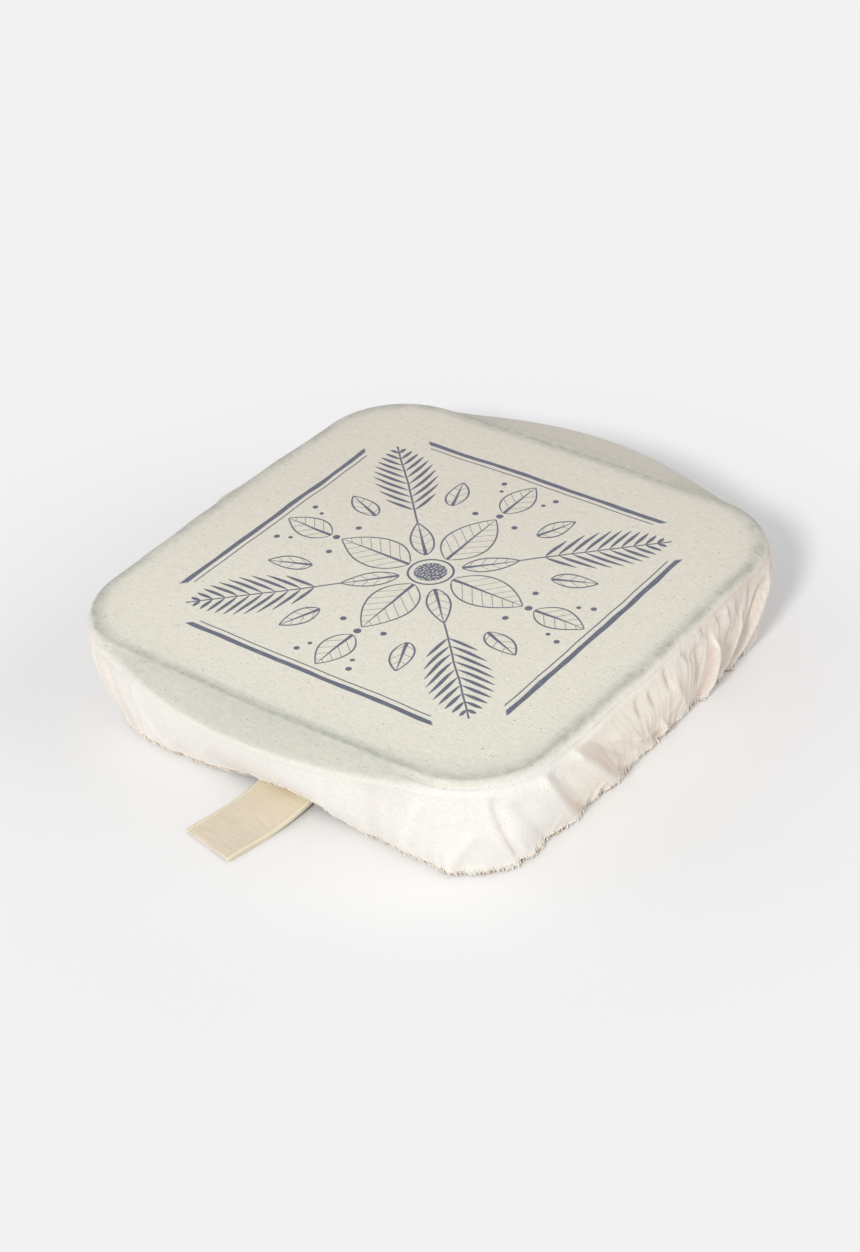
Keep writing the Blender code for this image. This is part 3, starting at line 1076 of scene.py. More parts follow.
    def build(self, outside: bpy.types.Material, inside: bpy.types.Material) -> "ClothBody":
        """Make the cloth.

        Args:
            outside: Printed face of the cotton.
            inside: Its other face.

        Returns:
            The piece with the surface that the thread and the label lie on.
        """
        along = self.form.columns()
        sheet, frame = self.surface(along)
        rows, columns = sheet.rows.shape[:2]
        front = np.arange(columns // 2 - 1)
        middle = np.stack([front, front + 1, columns - 2 - front, columns - 1 - front], axis=-1)
        quads = np.concatenate([middle, grid_faces(rows, columns, closed=True)])
        piece = new_piece("printed_cloth", sheet.rows.reshape(-1, 3), quads)
        set_uv(piece, sheet.cloth.reshape(-1, 2))
        bends = self.bends(sheet.rows)
        # Valleys get painted shade and crests a painted highlight, from the finish
        values = {**sheet.values, "hollow": np.clip(bends, 0, 1), "crest": np.clip(-bends, 0, 1)}
        # Flanks turned along the rim get painted shade, from the finish
        values["flank"] = self.flanks(sheet.rows, along)
        for name, numbers in values.items():
            set_value(piece, name, numbers)
        solid = piece.modifiers.new("cloth_thickness", "SOLIDIFY")
        solid.thickness = self.form.cloth_thickness
        solid.offset = 0.0
        solid.material_offset = 1
        dress(piece, outside, Slot.COTTON, CLOTH_NODE)
        piece.data.materials.append(inside)
        return ClothBody(piece, frame, along, sheet.rows, self.outward(sheet.rows), self.foot_row)

    def declare(self, piece: bpy.types.Object, parts: list[bpy.types.Object]) -> None:
        """Does nothing: the cloth and the parts sewn to it are left as they are."""


@dataclass
class ClothBody:
    """The made cloth: its piece, its hem and its surface as a grid to lie things on."""

    piece: bpy.types.Object
    frame: HemFrame
    along: Array
    rows: Array
    normals: Array
    foot_row: int

    def at(self, row: Array, along: Array, period: float) -> tuple[Array, Array]:
        """Points and normals anywhere on the sheet, mixed from the four vertices around.

        Args:
            row: Row numbers, whole or between rows.
            along: Positions along the rim line, same shape.
            period: Length of the rim line.

        Returns:
            Points and outward normals.
        """
        columns = len(self.along)
        order = np.arange(columns + 1, dtype=float)
        edges = np.append(self.along, self.along[0] + period)
        place = np.interp((along - self.along[0]) % period, edges - self.along[0], order)
        left = np.clip(np.floor(place).astype(int), 0, columns - 1)
        upper = np.clip(np.floor(row).astype(int), 0, len(self.rows) - 2)
        side, down = (place - left)[..., None], (row - upper)[..., None]
        right = (left + 1) % columns
        mixed = []
        for grid in (self.rows, self.normals):
            above = grid[upper, left] * (1 - side) + grid[upper, right] * side
            below = grid[upper + 1, left] * (1 - side) + grid[upper + 1, right] * side
            mixed.append(above * (1 - down) + below * down)
        return mixed[0], unit(mixed[1])


@dataclass
class HemStitching:
    """Overlocking thread round the hem: one loop for each stitch and a line that links them."""

    form: CoverForm
    body: ClothBody
    pitch: float = 0.0024
    thread_radius: float = 0.00034
    rows_above: float = 1.7
    rows_below: float = 5.6
    steps: int = 10
    loop_sides: int = 5
    chain_sides: int = 4
    chain_thickness: float = 0.8
    chain_swing: float = 0.28
    chain_tone: float = 0.12
    tan_share: float = 0.38
    pitch_scatter: float = 0.18
    row_scatter: float = 0.25
    lean: tuple[float, float] = (0.35, 0.6)
    bow: tuple[float, float] = (0.0001, 0.0009)
    tones: tuple[float, float] = (0.85, 0.1)
    upper_tone: float = 0.35
    sunk: float = 0.75
    floor_gap: float = 0.00005
    seed: int = 5

    def carried(self, row: Array, along: Array, radius: float) -> Array:
        """Points that lie on the outside of the cloth, most of a thread's radius off it.

        Args:
            row: Row numbers.
            along: Positions along the rim line, same shape.
            radius: Radius of the thread.

        Returns:
            Points above the floor.
        """
        points, normals = self.body.at(row, along, self.form.perimeter)
        off = self.form.cloth_thickness / 2 + self.sunk * radius
        lifted = points + normals * off
        lifted[..., 2] = np.maximum(lifted[..., 2], radius + self.floor_gap)
        return lifted

    def loops(self) -> tuple[Array, Array, Array]:
        """Loops over the hem's edge.

        A loop runs from the outside of the skirt, down round the turned edge and up a
        little on the inside, and leans by part of a pitch on its way.

        Returns:
            Vertices, quads and each vertex's tone.
        """
        draw = np.random.default_rng(self.seed)
        count = round(self.form.perimeter / self.pitch)
        places = np.arange(count) + draw.uniform(-self.pitch_scatter, self.pitch_scatter, count)
        places = places * self.form.perimeter / count
        share = np.linspace(0, 1, self.steps)
        start = -self.rows_above + draw.uniform(-self.row_scatter, self.row_scatter, count)
        row = self.body.foot_row + start[:, None] + (self.rows_below - start[:, None]) * share
        lean = draw.uniform(*self.lean, count)[:, None] * self.pitch * np.sin(math.pi * share)
        along = places[:, None] + lean
        paths = self.carried(row, along, self.thread_radius)
        bow = draw.uniform(*self.bow, count)[:, None] * np.sin(math.pi * share**0.6) ** 2
        _, normals = self.body.at(row, along, self.form.perimeter)
        paths = paths + normals * bow[..., None]
        paths[..., 2] = np.maximum(paths[..., 2], self.thread_radius + 0.00004)
        points, quads = tube(paths, normals, self.thread_radius, self.loop_sides)
        tone = np.where(draw.uniform(0, 1, count) < self.tan_share, *self.tones)
        tone = tone + draw.uniform(-0.1, 0.15, count)
        lower = self.upper_tone + (1 - self.upper_tone) * ease(share, 0.05, 0.2)
        tone = tone[:, None] * lower
        return points, quads, np.repeat(tone.ravel(), self.loop_sides)

    def chain(self) -> tuple[Array, Array, Array]:
        """The linking thread: a closed zigzag just above the loops' upper ends.

        Returns:
            Vertices, quads and each vertex's tone.
        """
        steps = 4 * round(self.form.perimeter / self.pitch)
        along = np.arange(steps + 1) * self.form.perimeter / steps
        swing = self.chain_swing * np.sin(2 * math.pi * np.arange(steps + 1) / 4)
        row = self.body.foot_row - self.rows_above + swing
        radius = self.chain_thickness * self.thread_radius
        path = self.carried(row, along, radius)[None]
        _, normals = self.body.at(row, along, self.form.perimeter)
        points, quads = tube(path, normals[None], radius, self.chain_sides)
        return points, quads, np.full(len(points), self.chain_tone)

    def build(self, material: bpy.types.Material) -> bpy.types.Object:
        """Make the thread as one piece.

        Args:
            material: The thread's finish.

        Returns:
            The piece.
        """
        loops, loop_quads, loop_tone = self.loops()
        chain, chain_quads, chain_tone = self.chain()
        piece = new_piece(
            "overlock_thread",
            np.concatenate([loops, chain]),
            np.concatenate([loop_quads, chain_quads + len(loops)]),
        )
        set_value(piece, "tone", np.concatenate([loop_tone, chain_tone]))
        return dress(piece, material, Slot.COTTON)


@dataclass
class HemFibres:
    """Loose fibres that stand off the cut edge inside the overlocking."""

    form: CoverForm
    body: ClothBody
    count: int = 420
    longest: float = 0.0030
    shortest_share: float = 0.25
    radius: float = 0.00007
    steps: int = 6
    sides: int = 4
    aside: tuple[float, float, float] = (0.21, 0.34, 0.92)
    floor_gap: float = 0.00003
    seed: int = 23

    def build(self, material: bpy.types.Material) -> bpy.types.Object:
        """Make the fibres.

        Each is a quadratic curve from the hem's edge, first along the cloth's normal and
        then down or sideways.

        Args:
            material: The thread's finish.

        Returns:
            The piece.
        """
        draw = np.random.default_rng(self.seed)
        along = draw.uniform(0, self.form.perimeter, self.count)
        row = self.body.foot_row + draw.uniform(0.4, 3.2, self.count)
        roots, normals = self.body.at(row, along, self.form.perimeter)
        sideways = unit(np.cross(normals, [0.0, 0.0, 1.0]))
        length = self.longest * draw.uniform(self.shortest_share, 1.0, self.count)[:, None]
        turn = draw.uniform(-1, 1, self.count)[:, None]
        droop = draw.uniform(-0.5, 0.3, self.count)[:, None]
        first = normals * length * 0.5 + sideways * turn * length * 0.25
        then = normals * length * 0.5 + sideways * turn * length * 0.8
        then = then + np.array([0.0, 0.0, 1.0]) * droop * length * 0.5
        share = np.linspace(0, 1, self.steps)[None, :, None]
        paths = roots[:, None] + first[:, None] * share + then[:, None] * share**2
        paths[..., 2] = np.maximum(paths[..., 2], self.radius + self.floor_gap)
        points, quads = tube(paths, np.array(self.aside), self.radius, self.sides)
        piece = new_piece("hem_fibres", points, quads)
        tone = draw.uniform(-0.1, 0.5, self.count)
        set_value(piece, "tone", np.repeat(tone, self.steps * self.sides))
        return dress(piece, material, Slot.COTTON)


@dataclass
class ElasticRing:
    """Flat elastic lying in the turned hem, in the hem's own shape."""

    form: CoverForm
    body: ClothBody
    width: float = 0.0044
    thickness: float = 0.0008
    count: int = 720

    def build(self, material: bpy.types.Material) -> bpy.types.Object:
        """Make the elastic: a thin rectangle carried round the middle of the hem.

        Args:
            material: Its finish.

        Returns:
            The piece.
        """
        period = self.form.perimeter
        wanted = self.body.along[0] + period * np.arange(self.count) / self.count
        frame = self.body.frame.sampled(self.body.along, wanted, period)
        near, far = (self.form.hem_radius + side * self.thickness / 2 for side in (-1, 1))
        corners = ((near, 0.0), (far, 0.0), (far, self.width), (near, self.width), (near, 0.0))
        ring = np.stack([frame.at(inward, upward) for inward, upward in corners])
        points = ring[:-1].reshape(-1, 3)
        quads = grid_faces(len(corners), self.count, closed=True) % len(points)
        piece = new_piece("hem_elastic_ring", points, quads, smooth=False)
        return dress(piece, material, Slot.ELASTIC, ELASTIC_NODE)


@dataclass
class LabelRibbon:
    """The bare ribbon label, folded over at its free end, both ends held behind the hem."""

    form: CoverForm
    body: ClothBody
    width: float = 0.027
    length: float = 0.0415
    root: float = 0.0065
    thickness: float = 0.0005
    clearance: float = 0.0003
    turn: float = math.radians(11)
    turn_length: float = 0.015
    fall_length: float = 0.027
    across_steps: int = 28
    run_steps: int = 34
    bend_steps: int = 8
    cup: float = 0.0007
    curl: float = 0.0005
    curl_run: tuple[float, float] = (0.55, 0.45)
    root_run: float = 0.45
    slack: float = 0.0002
    behind: float = 0.0025
    wave: float = 0.00018
    hidden_length: float = 0.008

    def frame(self) -> tuple[Array, Array, Array]:
        """The hem at the label, seen from the side.

        Returns:
            Its foot and its inward and upward directions, as (outward, up) from the middle.
        """
        wanted = np.array([self.form.label_offset])
        hem = self.body.frame.sampled(self.body.along, wanted, self.form.perimeter)
        centre_y = self.form.centre[1]
        foot = np.array([centre_y - hem.foot[0, 1], hem.foot[0, 2]])
        inward = unit(np.array([-hem.inward[0, 1], hem.inward[0, 2]]))
        upward = unit(np.array([-hem.upward[0, 1], hem.upward[0, 2]]))
        return foot, inward, upward

    def path(self) -> tuple[Array, float]:
        """Middle line of the folded label: down behind the hem, round under it, then lying.

        Returns:
            Points as (outward, up), and the outward place of the skirt's end.
        """
        form = self.form
        foot, inward, upward = self.frame()
        stack = 2 * self.thickness + self.clearance
        centre = foot + inward * form.hem_radius
        radius = form.hem_radius + form.cloth_thickness / 2 + self.clearance + stack / 2
        down = np.linspace(self.root, 0, 5)[:-1, None]
        behind = centre + inward * radius + upward * down
        straight_down = math.atan2(upward[1], -inward[1])
        angles = np.linspace(0.0, straight_down, self.bend_steps + 1)[:, None]
        under = centre + radius * (inward * np.cos(angles) - upward * np.sin(angles))
        start = under[-1]
        end = foot[0] + self.length
        outward = start[0] + (end - start[0]) * np.linspace(0, 1, self.run_steps + 1)[1:]
        eased = smoothstep((outward - start[0]) / self.fall_length)
        up = start[1] + (stack / 2 - start[1]) * eased
        return np.concatenate([behind, under, np.stack([outward, up], axis=-1)]), foot[0]

    def build(self, material: bpy.types.Material) -> bpy.types.Object:
        """Make the ribbon: its two layers as one strip that runs out, turns and comes back.

        The upper layer rises in a low arch across and along, and the free end lifts a
        little at its corners. Behind the hem it follows the hem wherever that lies further
        in than at the label's middle.

        Args:
            material: Its finish.

        Returns:
            The piece.
        """
        path, foot_out = self.path()
        tangent = unit(np.gradient(path, axis=0))
        normal = np.stack([-tangent[:, 1], tangent[:, 0]], axis=-1)
        half_gap = (self.thickness + self.clearance) / 2
        tip_angles = np.radians(np.linspace(-90, 90, 7)[1:-1])
        tip = path[-1] + half_gap * np.stack([np.cos(tip_angles), np.sin(tip_angles)], axis=-1)
        strip = np.concatenate([path - half_gap * normal, tip, (path + half_gap * normal)[::-1]])
        turning = np.linspace(0, 1, len(tip))
        upper = np.concatenate([np.zeros(len(path)), turning, np.ones(len(path))])

        past = np.clip((strip[:, 0] - foot_out) / self.turn_length, 0, None)
        eased = np.clip(past, 0, 1)
        angle = self.turn * smoothstep(past)
        sideways = past - eased + eased**3 - eased**4 / 2
        sideways = math.tan(self.turn) * self.turn_length * sideways
        across = np.linspace(-1, 1, self.across_steps + 1)
        offset = across[None] * self.width / 2
        x = self.form.label_offset - sideways[:, None] + offset * np.cos(angle)[:, None]
        y = -strip[:, :1] - offset * np.sin(angle)[:, None]
        beside = self.form.label_offset + offset[0]
        hem = self.body.frame.sampled(self.body.along, beside, self.form.perimeter).foot[:, 1]
        further_in = np.clip(hem - (self.form.centre[1] - foot_out), 0, None) + self.slack
        y = y + further_in * smoothstep((foot_out - strip[:, :1]) / self.behind)
        out = np.clip((strip[:, :1] - foot_out) / self.length, 0, 1)
        arch = self.cup * upper[:, None] * np.sin(math.pi * out) * (1 - across[None] ** 2)
        corners = 0.35 * across[None] ** 2 + 0.65 * across[None] ** 4
        lift = self.curl * ease(out, *self.curl_run) * corners
        wave = self.wave * upper[:, None] * np.sin(7.0 * out + 2.5 * across[None])
        wave = wave * smoothstep(out * 3)
        z = strip[:, 1:] + arch + lift + wave
        middle = self.form.centre
        points = np.stack([x + middle[0], y + middle[1], np.broadcast_to(z, x.shape)], axis=-1)
        rows, columns = points.shape[:2]
        quads = grid_faces(rows, columns, closed=False)
        piece = new_piece("folded_label", points.reshape(-1, 3), quads)
        run = np.concatenate([[0.0], np.cumsum(np.linalg.norm(np.diff(strip, axis=0), axis=-1))])
        woven = np.broadcast_arrays(offset, run[:, None])
        set_uv(piece, np.stack(woven, axis=-1).reshape(-1, 2))
        set_value(piece, "near_hem", np.broadcast_to(1 - smoothstep(out / self.root_run), x.shape))
        solid = piece.modifiers.new("ribbon_thickness", "SOLIDIFY")
        solid.thickness = self.thickness
        solid.offset = 0.0
        return dress(piece, material, Slot.RIBBON, LABEL_NODE)

    def declare(self, piece: bpy.types.Object) -> None:
        """Work out the length the ribbon was cut to, which nothing uses."""
        long = 2 * (self.length + self.root + self.hidden_length)


def arithmetic(operation: str, swapped: bool = False) -> Callable:
    """Make a method of a shader value that adds one Math node.

    Args:
        operation: The node's operation.
        swapped: Whether the other value comes first.

    Returns:
        The method, for an operator or a named use.
    """

    def method(value: "Value", other: "Value | float") -> "Value":
        """Join this value and the other one."""
        pair = (other, value) if swapped else (value, other)
        return value.graph.math(operation, *pair)

    return method


class Value:
    """A shader socket with arithmetic: an expression on values adds its Math nodes."""

    def __init__(self, graph: "Graph", socket: bpy.types.NodeSocket) -> None:
        """Wrap a socket of a graph."""
        self.graph = graph
        self.socket = socket

    __add__ = __radd__ = arithmetic("ADD")
    __sub__ = arithmetic("SUBTRACT")
    __rsub__ = arithmetic("SUBTRACT", swapped=True)
    __mul__ = __rmul__ = arithmetic("MULTIPLY")
    __truediv__ = arithmetic("DIVIDE")
    __pow__ = arithmetic("POWER")
    least = arithmetic("MINIMUM")
    most = arithmetic("MAXIMUM")

    def __abs__(self) -> "Value":
        """Size without sign."""
        return self.graph.math("ABSOLUTE", self)

    def part(self, name: str) -> "Value":
        """Another output of the same node."""
        return Value(self.graph, self.socket.node.outputs[name])


class Graph:
    """The node tree of one material or of the surroundings."""

    def __init__(self, owner: bpy.types.Material | bpy.types.World) -> None:
        """Start with an empty tree.

        Args:
            owner: The material or world that the tree is for.
        """
        self.owner = owner
        owner.use_nodes = True
        self.tree = owner.node_tree
        self.tree.nodes.clear()

    @classmethod
    def named(cls, name: str) -> "Graph":
        """The empty tree of a new material."""
        return cls(bpy.data.materials.new(name))

    def node(
        self,
        kind: str,
        settings: dict | None = None,
        inputs: dict | None = None,
        output: int | str = 0,
    ) -> Value:
        """Add a node.

        Args:
            kind: The node's type.
            settings: What is set on the node, before its sockets.
            inputs: Values or links by socket name or number.
            output: Which output to wrap.

        Returns:
            The wrapped output.
        """
        made = self.tree.nodes.new(kind)
        for name, value in (settings or {}).items():
            setattr(made, name, value)
        for key, value in (inputs or {}).items():
            if isinstance(value, Value):
                self.tree.links.new(value.socket, made.inputs[key])
            else:
                made.inputs[key].default_value = value
        return Value(self, made.outputs[output])

    def math(self, operation: str, *values: "Value | float") -> Value:
        """Add one Math node."""
        return self.node("ShaderNodeMath", {"operation": operation}, dict(enumerate(values)))

    def vector(self, operation: str, *values: "Value | tuple") -> Value:
        """Add one Vector Math node."""
        return self.node("ShaderNodeVectorMath", {"operation": operation}, dict(enumerate(values)))

    def step(
        self, value: Value, low: float, high: float, start: float = 0.0, end: float = 1.0
    ) -> Value:
        """Ease from start to end as a value goes from low to high, and hold outside.

        Args:
            value: The value.
            low: Where it starts to change.
            high: Where it stops.
            start: Result up to low.
            end: Result from high on.

        Returns:
            The eased value.
        """
        return self.node(
            "ShaderNodeMapRange",
            {"interpolation_type": "SMOOTHSTEP", "clamp": True},
            {"Value": value, "From Min": low, "From Max": high, "To Min": start, "To Max": end},
        )

    def mix(
        self,
        factor: "Value | float",
        first: "Value | tuple",
        second: "Value | tuple",
        blend: str = "MIX",
    ) -> Value:
        """Mix two colours.

        Args:
            factor: Share of the second one.
            first: Colour under it.
            second: Colour laid on.
            blend: How it is laid on.

        Returns:
            The mixed colour.
        """
        return self.node(
            "ShaderNodeMix",
            {"data_type": "RGBA", "blend_type": blend, "clamp_factor": True},
            {0: factor, 6: first, 7: second},
            2,
        )

    def noise(self, place: Value, scale: float, detail: float = 3.0, rough: float = 0.5) -> Value:
        """Noise from 0 to 1.

        Args:
            place: Where it is read, in metres.
            scale: Cells in a metre.
            detail: Finer rounds added.
            rough: Strength of each round beside the one before.

        Returns:
            The noise, with its colour as another part.
        """
        return self.node(
            "ShaderNodeTexNoise",
            {"noise_dimensions": "3D"},
            {"Vector": place, "Scale": scale, "Detail": detail, "Roughness": rough},
        )

    def attribute(self, name: str) -> Value:
        """A vertex value of the piece."""
        return self.node("ShaderNodeAttribute", {"attribute_name": name}, output="Fac")

    def cloth_place(self) -> Value:
        """Place on the flat cloth, in metres."""
        return self.node("ShaderNodeUVMap", {"uv_map": "cloth"})

    def split(self, place: Value) -> tuple[Value, Value]:
        """First and second coordinate of a place; the third is the first one's part Z."""
        parts = self.node("ShaderNodeSeparateXYZ", inputs={0: place})
        return parts, parts.part("Y")

    def stretch(self, place: Value, x: float, y: float) -> Value:
        """A place scaled by two numbers."""
        return self.vector("MULTIPLY", place, (x, y, 1.0))

    def object_place(self) -> Value:
        """Place on the part, in metres."""
        return self.node("ShaderNodeTexCoord", output="Object")

    def layers(self, colour: Value, *layers: tuple) -> Value:
        """Lay colours on one another.

        Args:
            colour: The lowest colour.
            layers: For each layer its share and its colour, and its blend where not plain.

        Returns:
            The colour on top.
        """
        for share, tint, *blend in layers:
            colour = self.mix(share, colour, tint, *blend)
        return colour

    def finish(
        self,
        colour: Value,
        roughness: "Value | float",
        height: Value | None,
        distance: float,
        constants: dict,
    ) -> bpy.types.Material:
        """Put the shader on.

        Args:
            colour: Base colour.
            roughness: Roughness.
            height: Height for the bump, 0 to 1.
            distance: What a height of one stands for, in metres.
            constants: Numbers set on the shader's own sockets.

        Returns:
            The finished material.
        """
        inputs = {"Base Color": colour, "Roughness": roughness, **constants}
        if height is not None:
            relief = {"Strength": 1.0, "Distance": distance, "Height": height}
            inputs["Normal"] = self.node("ShaderNodeBump", inputs=relief)
        shader = self.node("ShaderNodeBsdfPrincipled", inputs=inputs)
        self.put_out(shader, "ShaderNodeOutputMaterial")
        return self.owner

    def put_out(self, shader: Value, kind: str) -> None:
        """Join a shader to an output node of the given type."""
        made = self.tree.nodes.new(kind)
        self.tree.links.new(shader.socket, made.inputs["Surface"])


@dataclass(frozen=True)
class LeafPrint:
    """A generic ornament of leaves, fern sprigs and a double frame, in millimetres.

    It is the same in all eight wedges of the square. With x and y from the middle, a and
    b are the larger and the smaller of their sizes, and p and q run along and across the
    diagonals. A shape is a test on how far a point is from the shape's line.
    """

    warp: float = 2.6
    pen: float = 0.42
    soft: float = 0.16
    leaflet_pitch: float = 5.4
    vein_pitch: float = 5.2
    disc: float = 6.6
    ring: float = 9.4
    frame_half: float = 83.0
    frame_corner: float = 22.0
    dots: tuple = (
        ((50.0, 0.0), 1.7),
        ((46.0, 10.5), 1.4),
        ((72.5, 13.5), 1.3),
        ((67.0, 11.0), 1.0),
    )

    def pen_line(self, graph: Graph, distance: Value, half_width: "Value | float") -> Value:
        """Ink where a distance is less than half a pen's width, with a soft edge."""
        return graph.step(abs(distance) - half_width, -self.soft, self.soft, 1.0, 0.0)

    def inside(self, graph: Graph, value: Value, low: float, high: float) -> Value:
        """Mask of a value between two numbers."""
        ended = graph.step(value, high - 0.2, high + 0.2, 1.0, 0.0)
        return graph.step(value, low - 0.2, low + 0.2) * ended

    def share(self, graph: Graph, along: Value, start: float, end: float) -> Value:
        """Share of the way from start to end, held at 0 and 1.

        Args:
            graph: The material.
            along: Distance from the ornament's middle.
            start: Where the share is 0.
            end: Where it is 1.

        Returns:
            The share.
        """
        long = end - start
        line = {0: along, 1: 1 / long, 2: -start / long}
        return graph.node("ShaderNodeMath", {"operation": "MULTIPLY_ADD", "use_clamp": True}, line)

    def leaf(
        self, graph: Graph, along: Value, across: Value, start: float, end: float, width: float
    ) -> Value:
        """A pointed leaf with midrib and slanted veins: half width = 4 w t (1 - t).

        Args:
            graph: The material.
            along: Distance from the ornament's middle along the leaf.
            across: Distance from the leaf's midrib, never negative.
            start: Where the leaf starts.
            end: Where its tip is.
            width: Its largest half width.

        Returns:
            The ink.
        """
        share = self.share(graph, along, start, end)
        eased = share**0.82
        half = eased * (1 - eased) * (4 * width)
        lengthwise = self.inside(graph, along, start, end)
        outline = self.pen_line(graph, across - half, self.pen)
        midrib = self.pen_line(graph, across, (1 - share) * 0.75 + 0.12)
        slanted = along - across * 0.85 + 0.004 * across * across
        slant = graph.math("PINGPONG", slanted, self.vein_pitch / 2)
        veins = self.pen_line(graph, slant, 0.2) * graph.step(across - half, -0.4, 0.2, 1.0, 0.0)
        return outline.most(midrib).most(veins * 0.85) * lengthwise

    def fern(
        self, graph: Graph, along: Value, across: Value, start: float, end: float, width: float
    ) -> Value:
        """A sprig of slanted leaflets on a stem.

        A leaflet's half thickness is h t (1 - t) across the sprig, and the sprig's own
        half width is 4 w s (1 - s) along it.

        Args:
            graph: The material.
            along: Distance from the ornament's middle along the sprig.
            across: Distance from its stem, never negative.
            start: Where it starts.
            end: Where its tip is.
            width: Its largest half width.

        Returns:
            The ink.
        """
        share = self.share(graph, along - across * 0.9, start, end)
        reach = (share**0.7) * (1 - share**0.7) * (4 * width) + 0.01
        out = (across / reach).least(1.0)
        slant = along - across * 0.9 - 0.012 * across * across
        local = graph.math("PINGPONG", slant, self.leaflet_pitch / 2)
        thick = out * (1 - out) * 5.2 + 0.02
        leaflet = self.pen_line(graph, local, thick) * graph.step(out, 0.93, 0.99, 1.0, 0.0)
        stem = self.pen_line(graph, across, self.pen)
        leaflet = leaflet * self.inside(graph, share * 10, 1.0, 9.8)
        return leaflet.most(stem * self.inside(graph, along, start - 3, end))

    def dot(
        self, graph: Graph, a: Value, b: Value, at: tuple[float, float], radius: float
    ) -> Value:
        """A filled dot in each wedge."""
        away = graph.math("SQRT", (a - at[0]) ** 2.0 + (b - at[1]) ** 2.0)
        return graph.step(away, radius - 0.15, radius + 0.15, 1.0, 0.0)

    def seed_head(self, graph: Graph, place: Value, radius: Value) -> Value:
        """The speckled disc in the middle, with a ring round it.

        Args:
            graph: The material.
            place: Place on the flat cloth, in metres.
            radius: Distance from its middle, in millimetres.

        Returns:
            The ink.
        """
        cells = graph.node(
            "ShaderNodeTexVoronoi",
            {"feature": "F1", "voronoi_dimensions": "2D"},
            {"Vector": place, "Scale": 620.0, "Randomness": 0.55},
        )
        grains = graph.step(cells, 0.20, 0.34)
        disc = graph.step(radius, self.disc, self.disc + 0.6, 1.0, 0.0)
        ring = self.pen_line(graph, radius - self.ring, 0.5)
        return (disc * (0.25 + 0.75 * grains)).most(ring)

    def ink(self, graph: Graph) -> Value:
        """The whole ornament.

        Args:
            graph: The material.

        Returns:
            Ink from 0 to 1.
        """
        place = graph.cloth_place()
        drift = graph.noise(place, 26.0, 2.0).part("Color")
        drift = graph.vector("SUBTRACT", drift, (0.5, 0.5, 0.5))
        drift = graph.vector("MULTIPLY", drift, (self.warp / 1000,) * 3)
        moved = graph.vector("ADD", place, drift)
        x, y = graph.split(graph.vector("MULTIPLY", moved, (1000.0, 1000.0, 0.0)))
        ax, ay = abs(x), abs(y)
        a, b = ax.most(ay), ax.least(ay)
        root_half = math.sqrt(0.5)
        p, q = (ax + ay) * root_half, abs(ax - ay) * root_half
        radius = graph.math("SQRT", x * x + y * y)
        ink = self.seed_head(graph, moved, radius)
        slant_a, slant_b = (a + b * 0.75) * 0.8, abs(b - a * 0.42 - 3.0) * 0.92
        for shape, along, across, start, end, width in (
            (self.leaf, a, b, 11.0, 47.0, 10.5),
            (self.leaf, p, q, 13.0, 38.0, 4.8),
            (self.fern, p, q, 41.0, 103.0, 14.5),
            (self.leaf, a, b, 53.0, 77.0, 7.0),
            (self.leaf, slant_a, slant_b, 50.0, 69.0, 4.6),
        ):
            ink = ink.most(shape(graph, along, across, start, end, width))
        for at, size in self.dots:
            ink = ink.most(self.dot(graph, a, b, at, size))
        side = self.frame_half - self.frame_corner
        corner_x, corner_y = (ax - side).most(0.0), (ay - side).most(0.0)
        corner = graph.math("SQRT", corner_x * corner_x + corner_y * corner_y)
        out = corner + ((ax - side).most(ay - side)).least(0.0) - self.frame_corner
        swell = 0.75 + 0.9 * graph.noise(place, 60.0, 1.0)
        frame = self.pen_line(graph, out, swell).most(self.pen_line(graph, out + 3.4, 0.32))
        clear = graph.step(q, 14.0, 15.0)
        ink = ink.most(frame * clear)
        return ink.least(1.0)


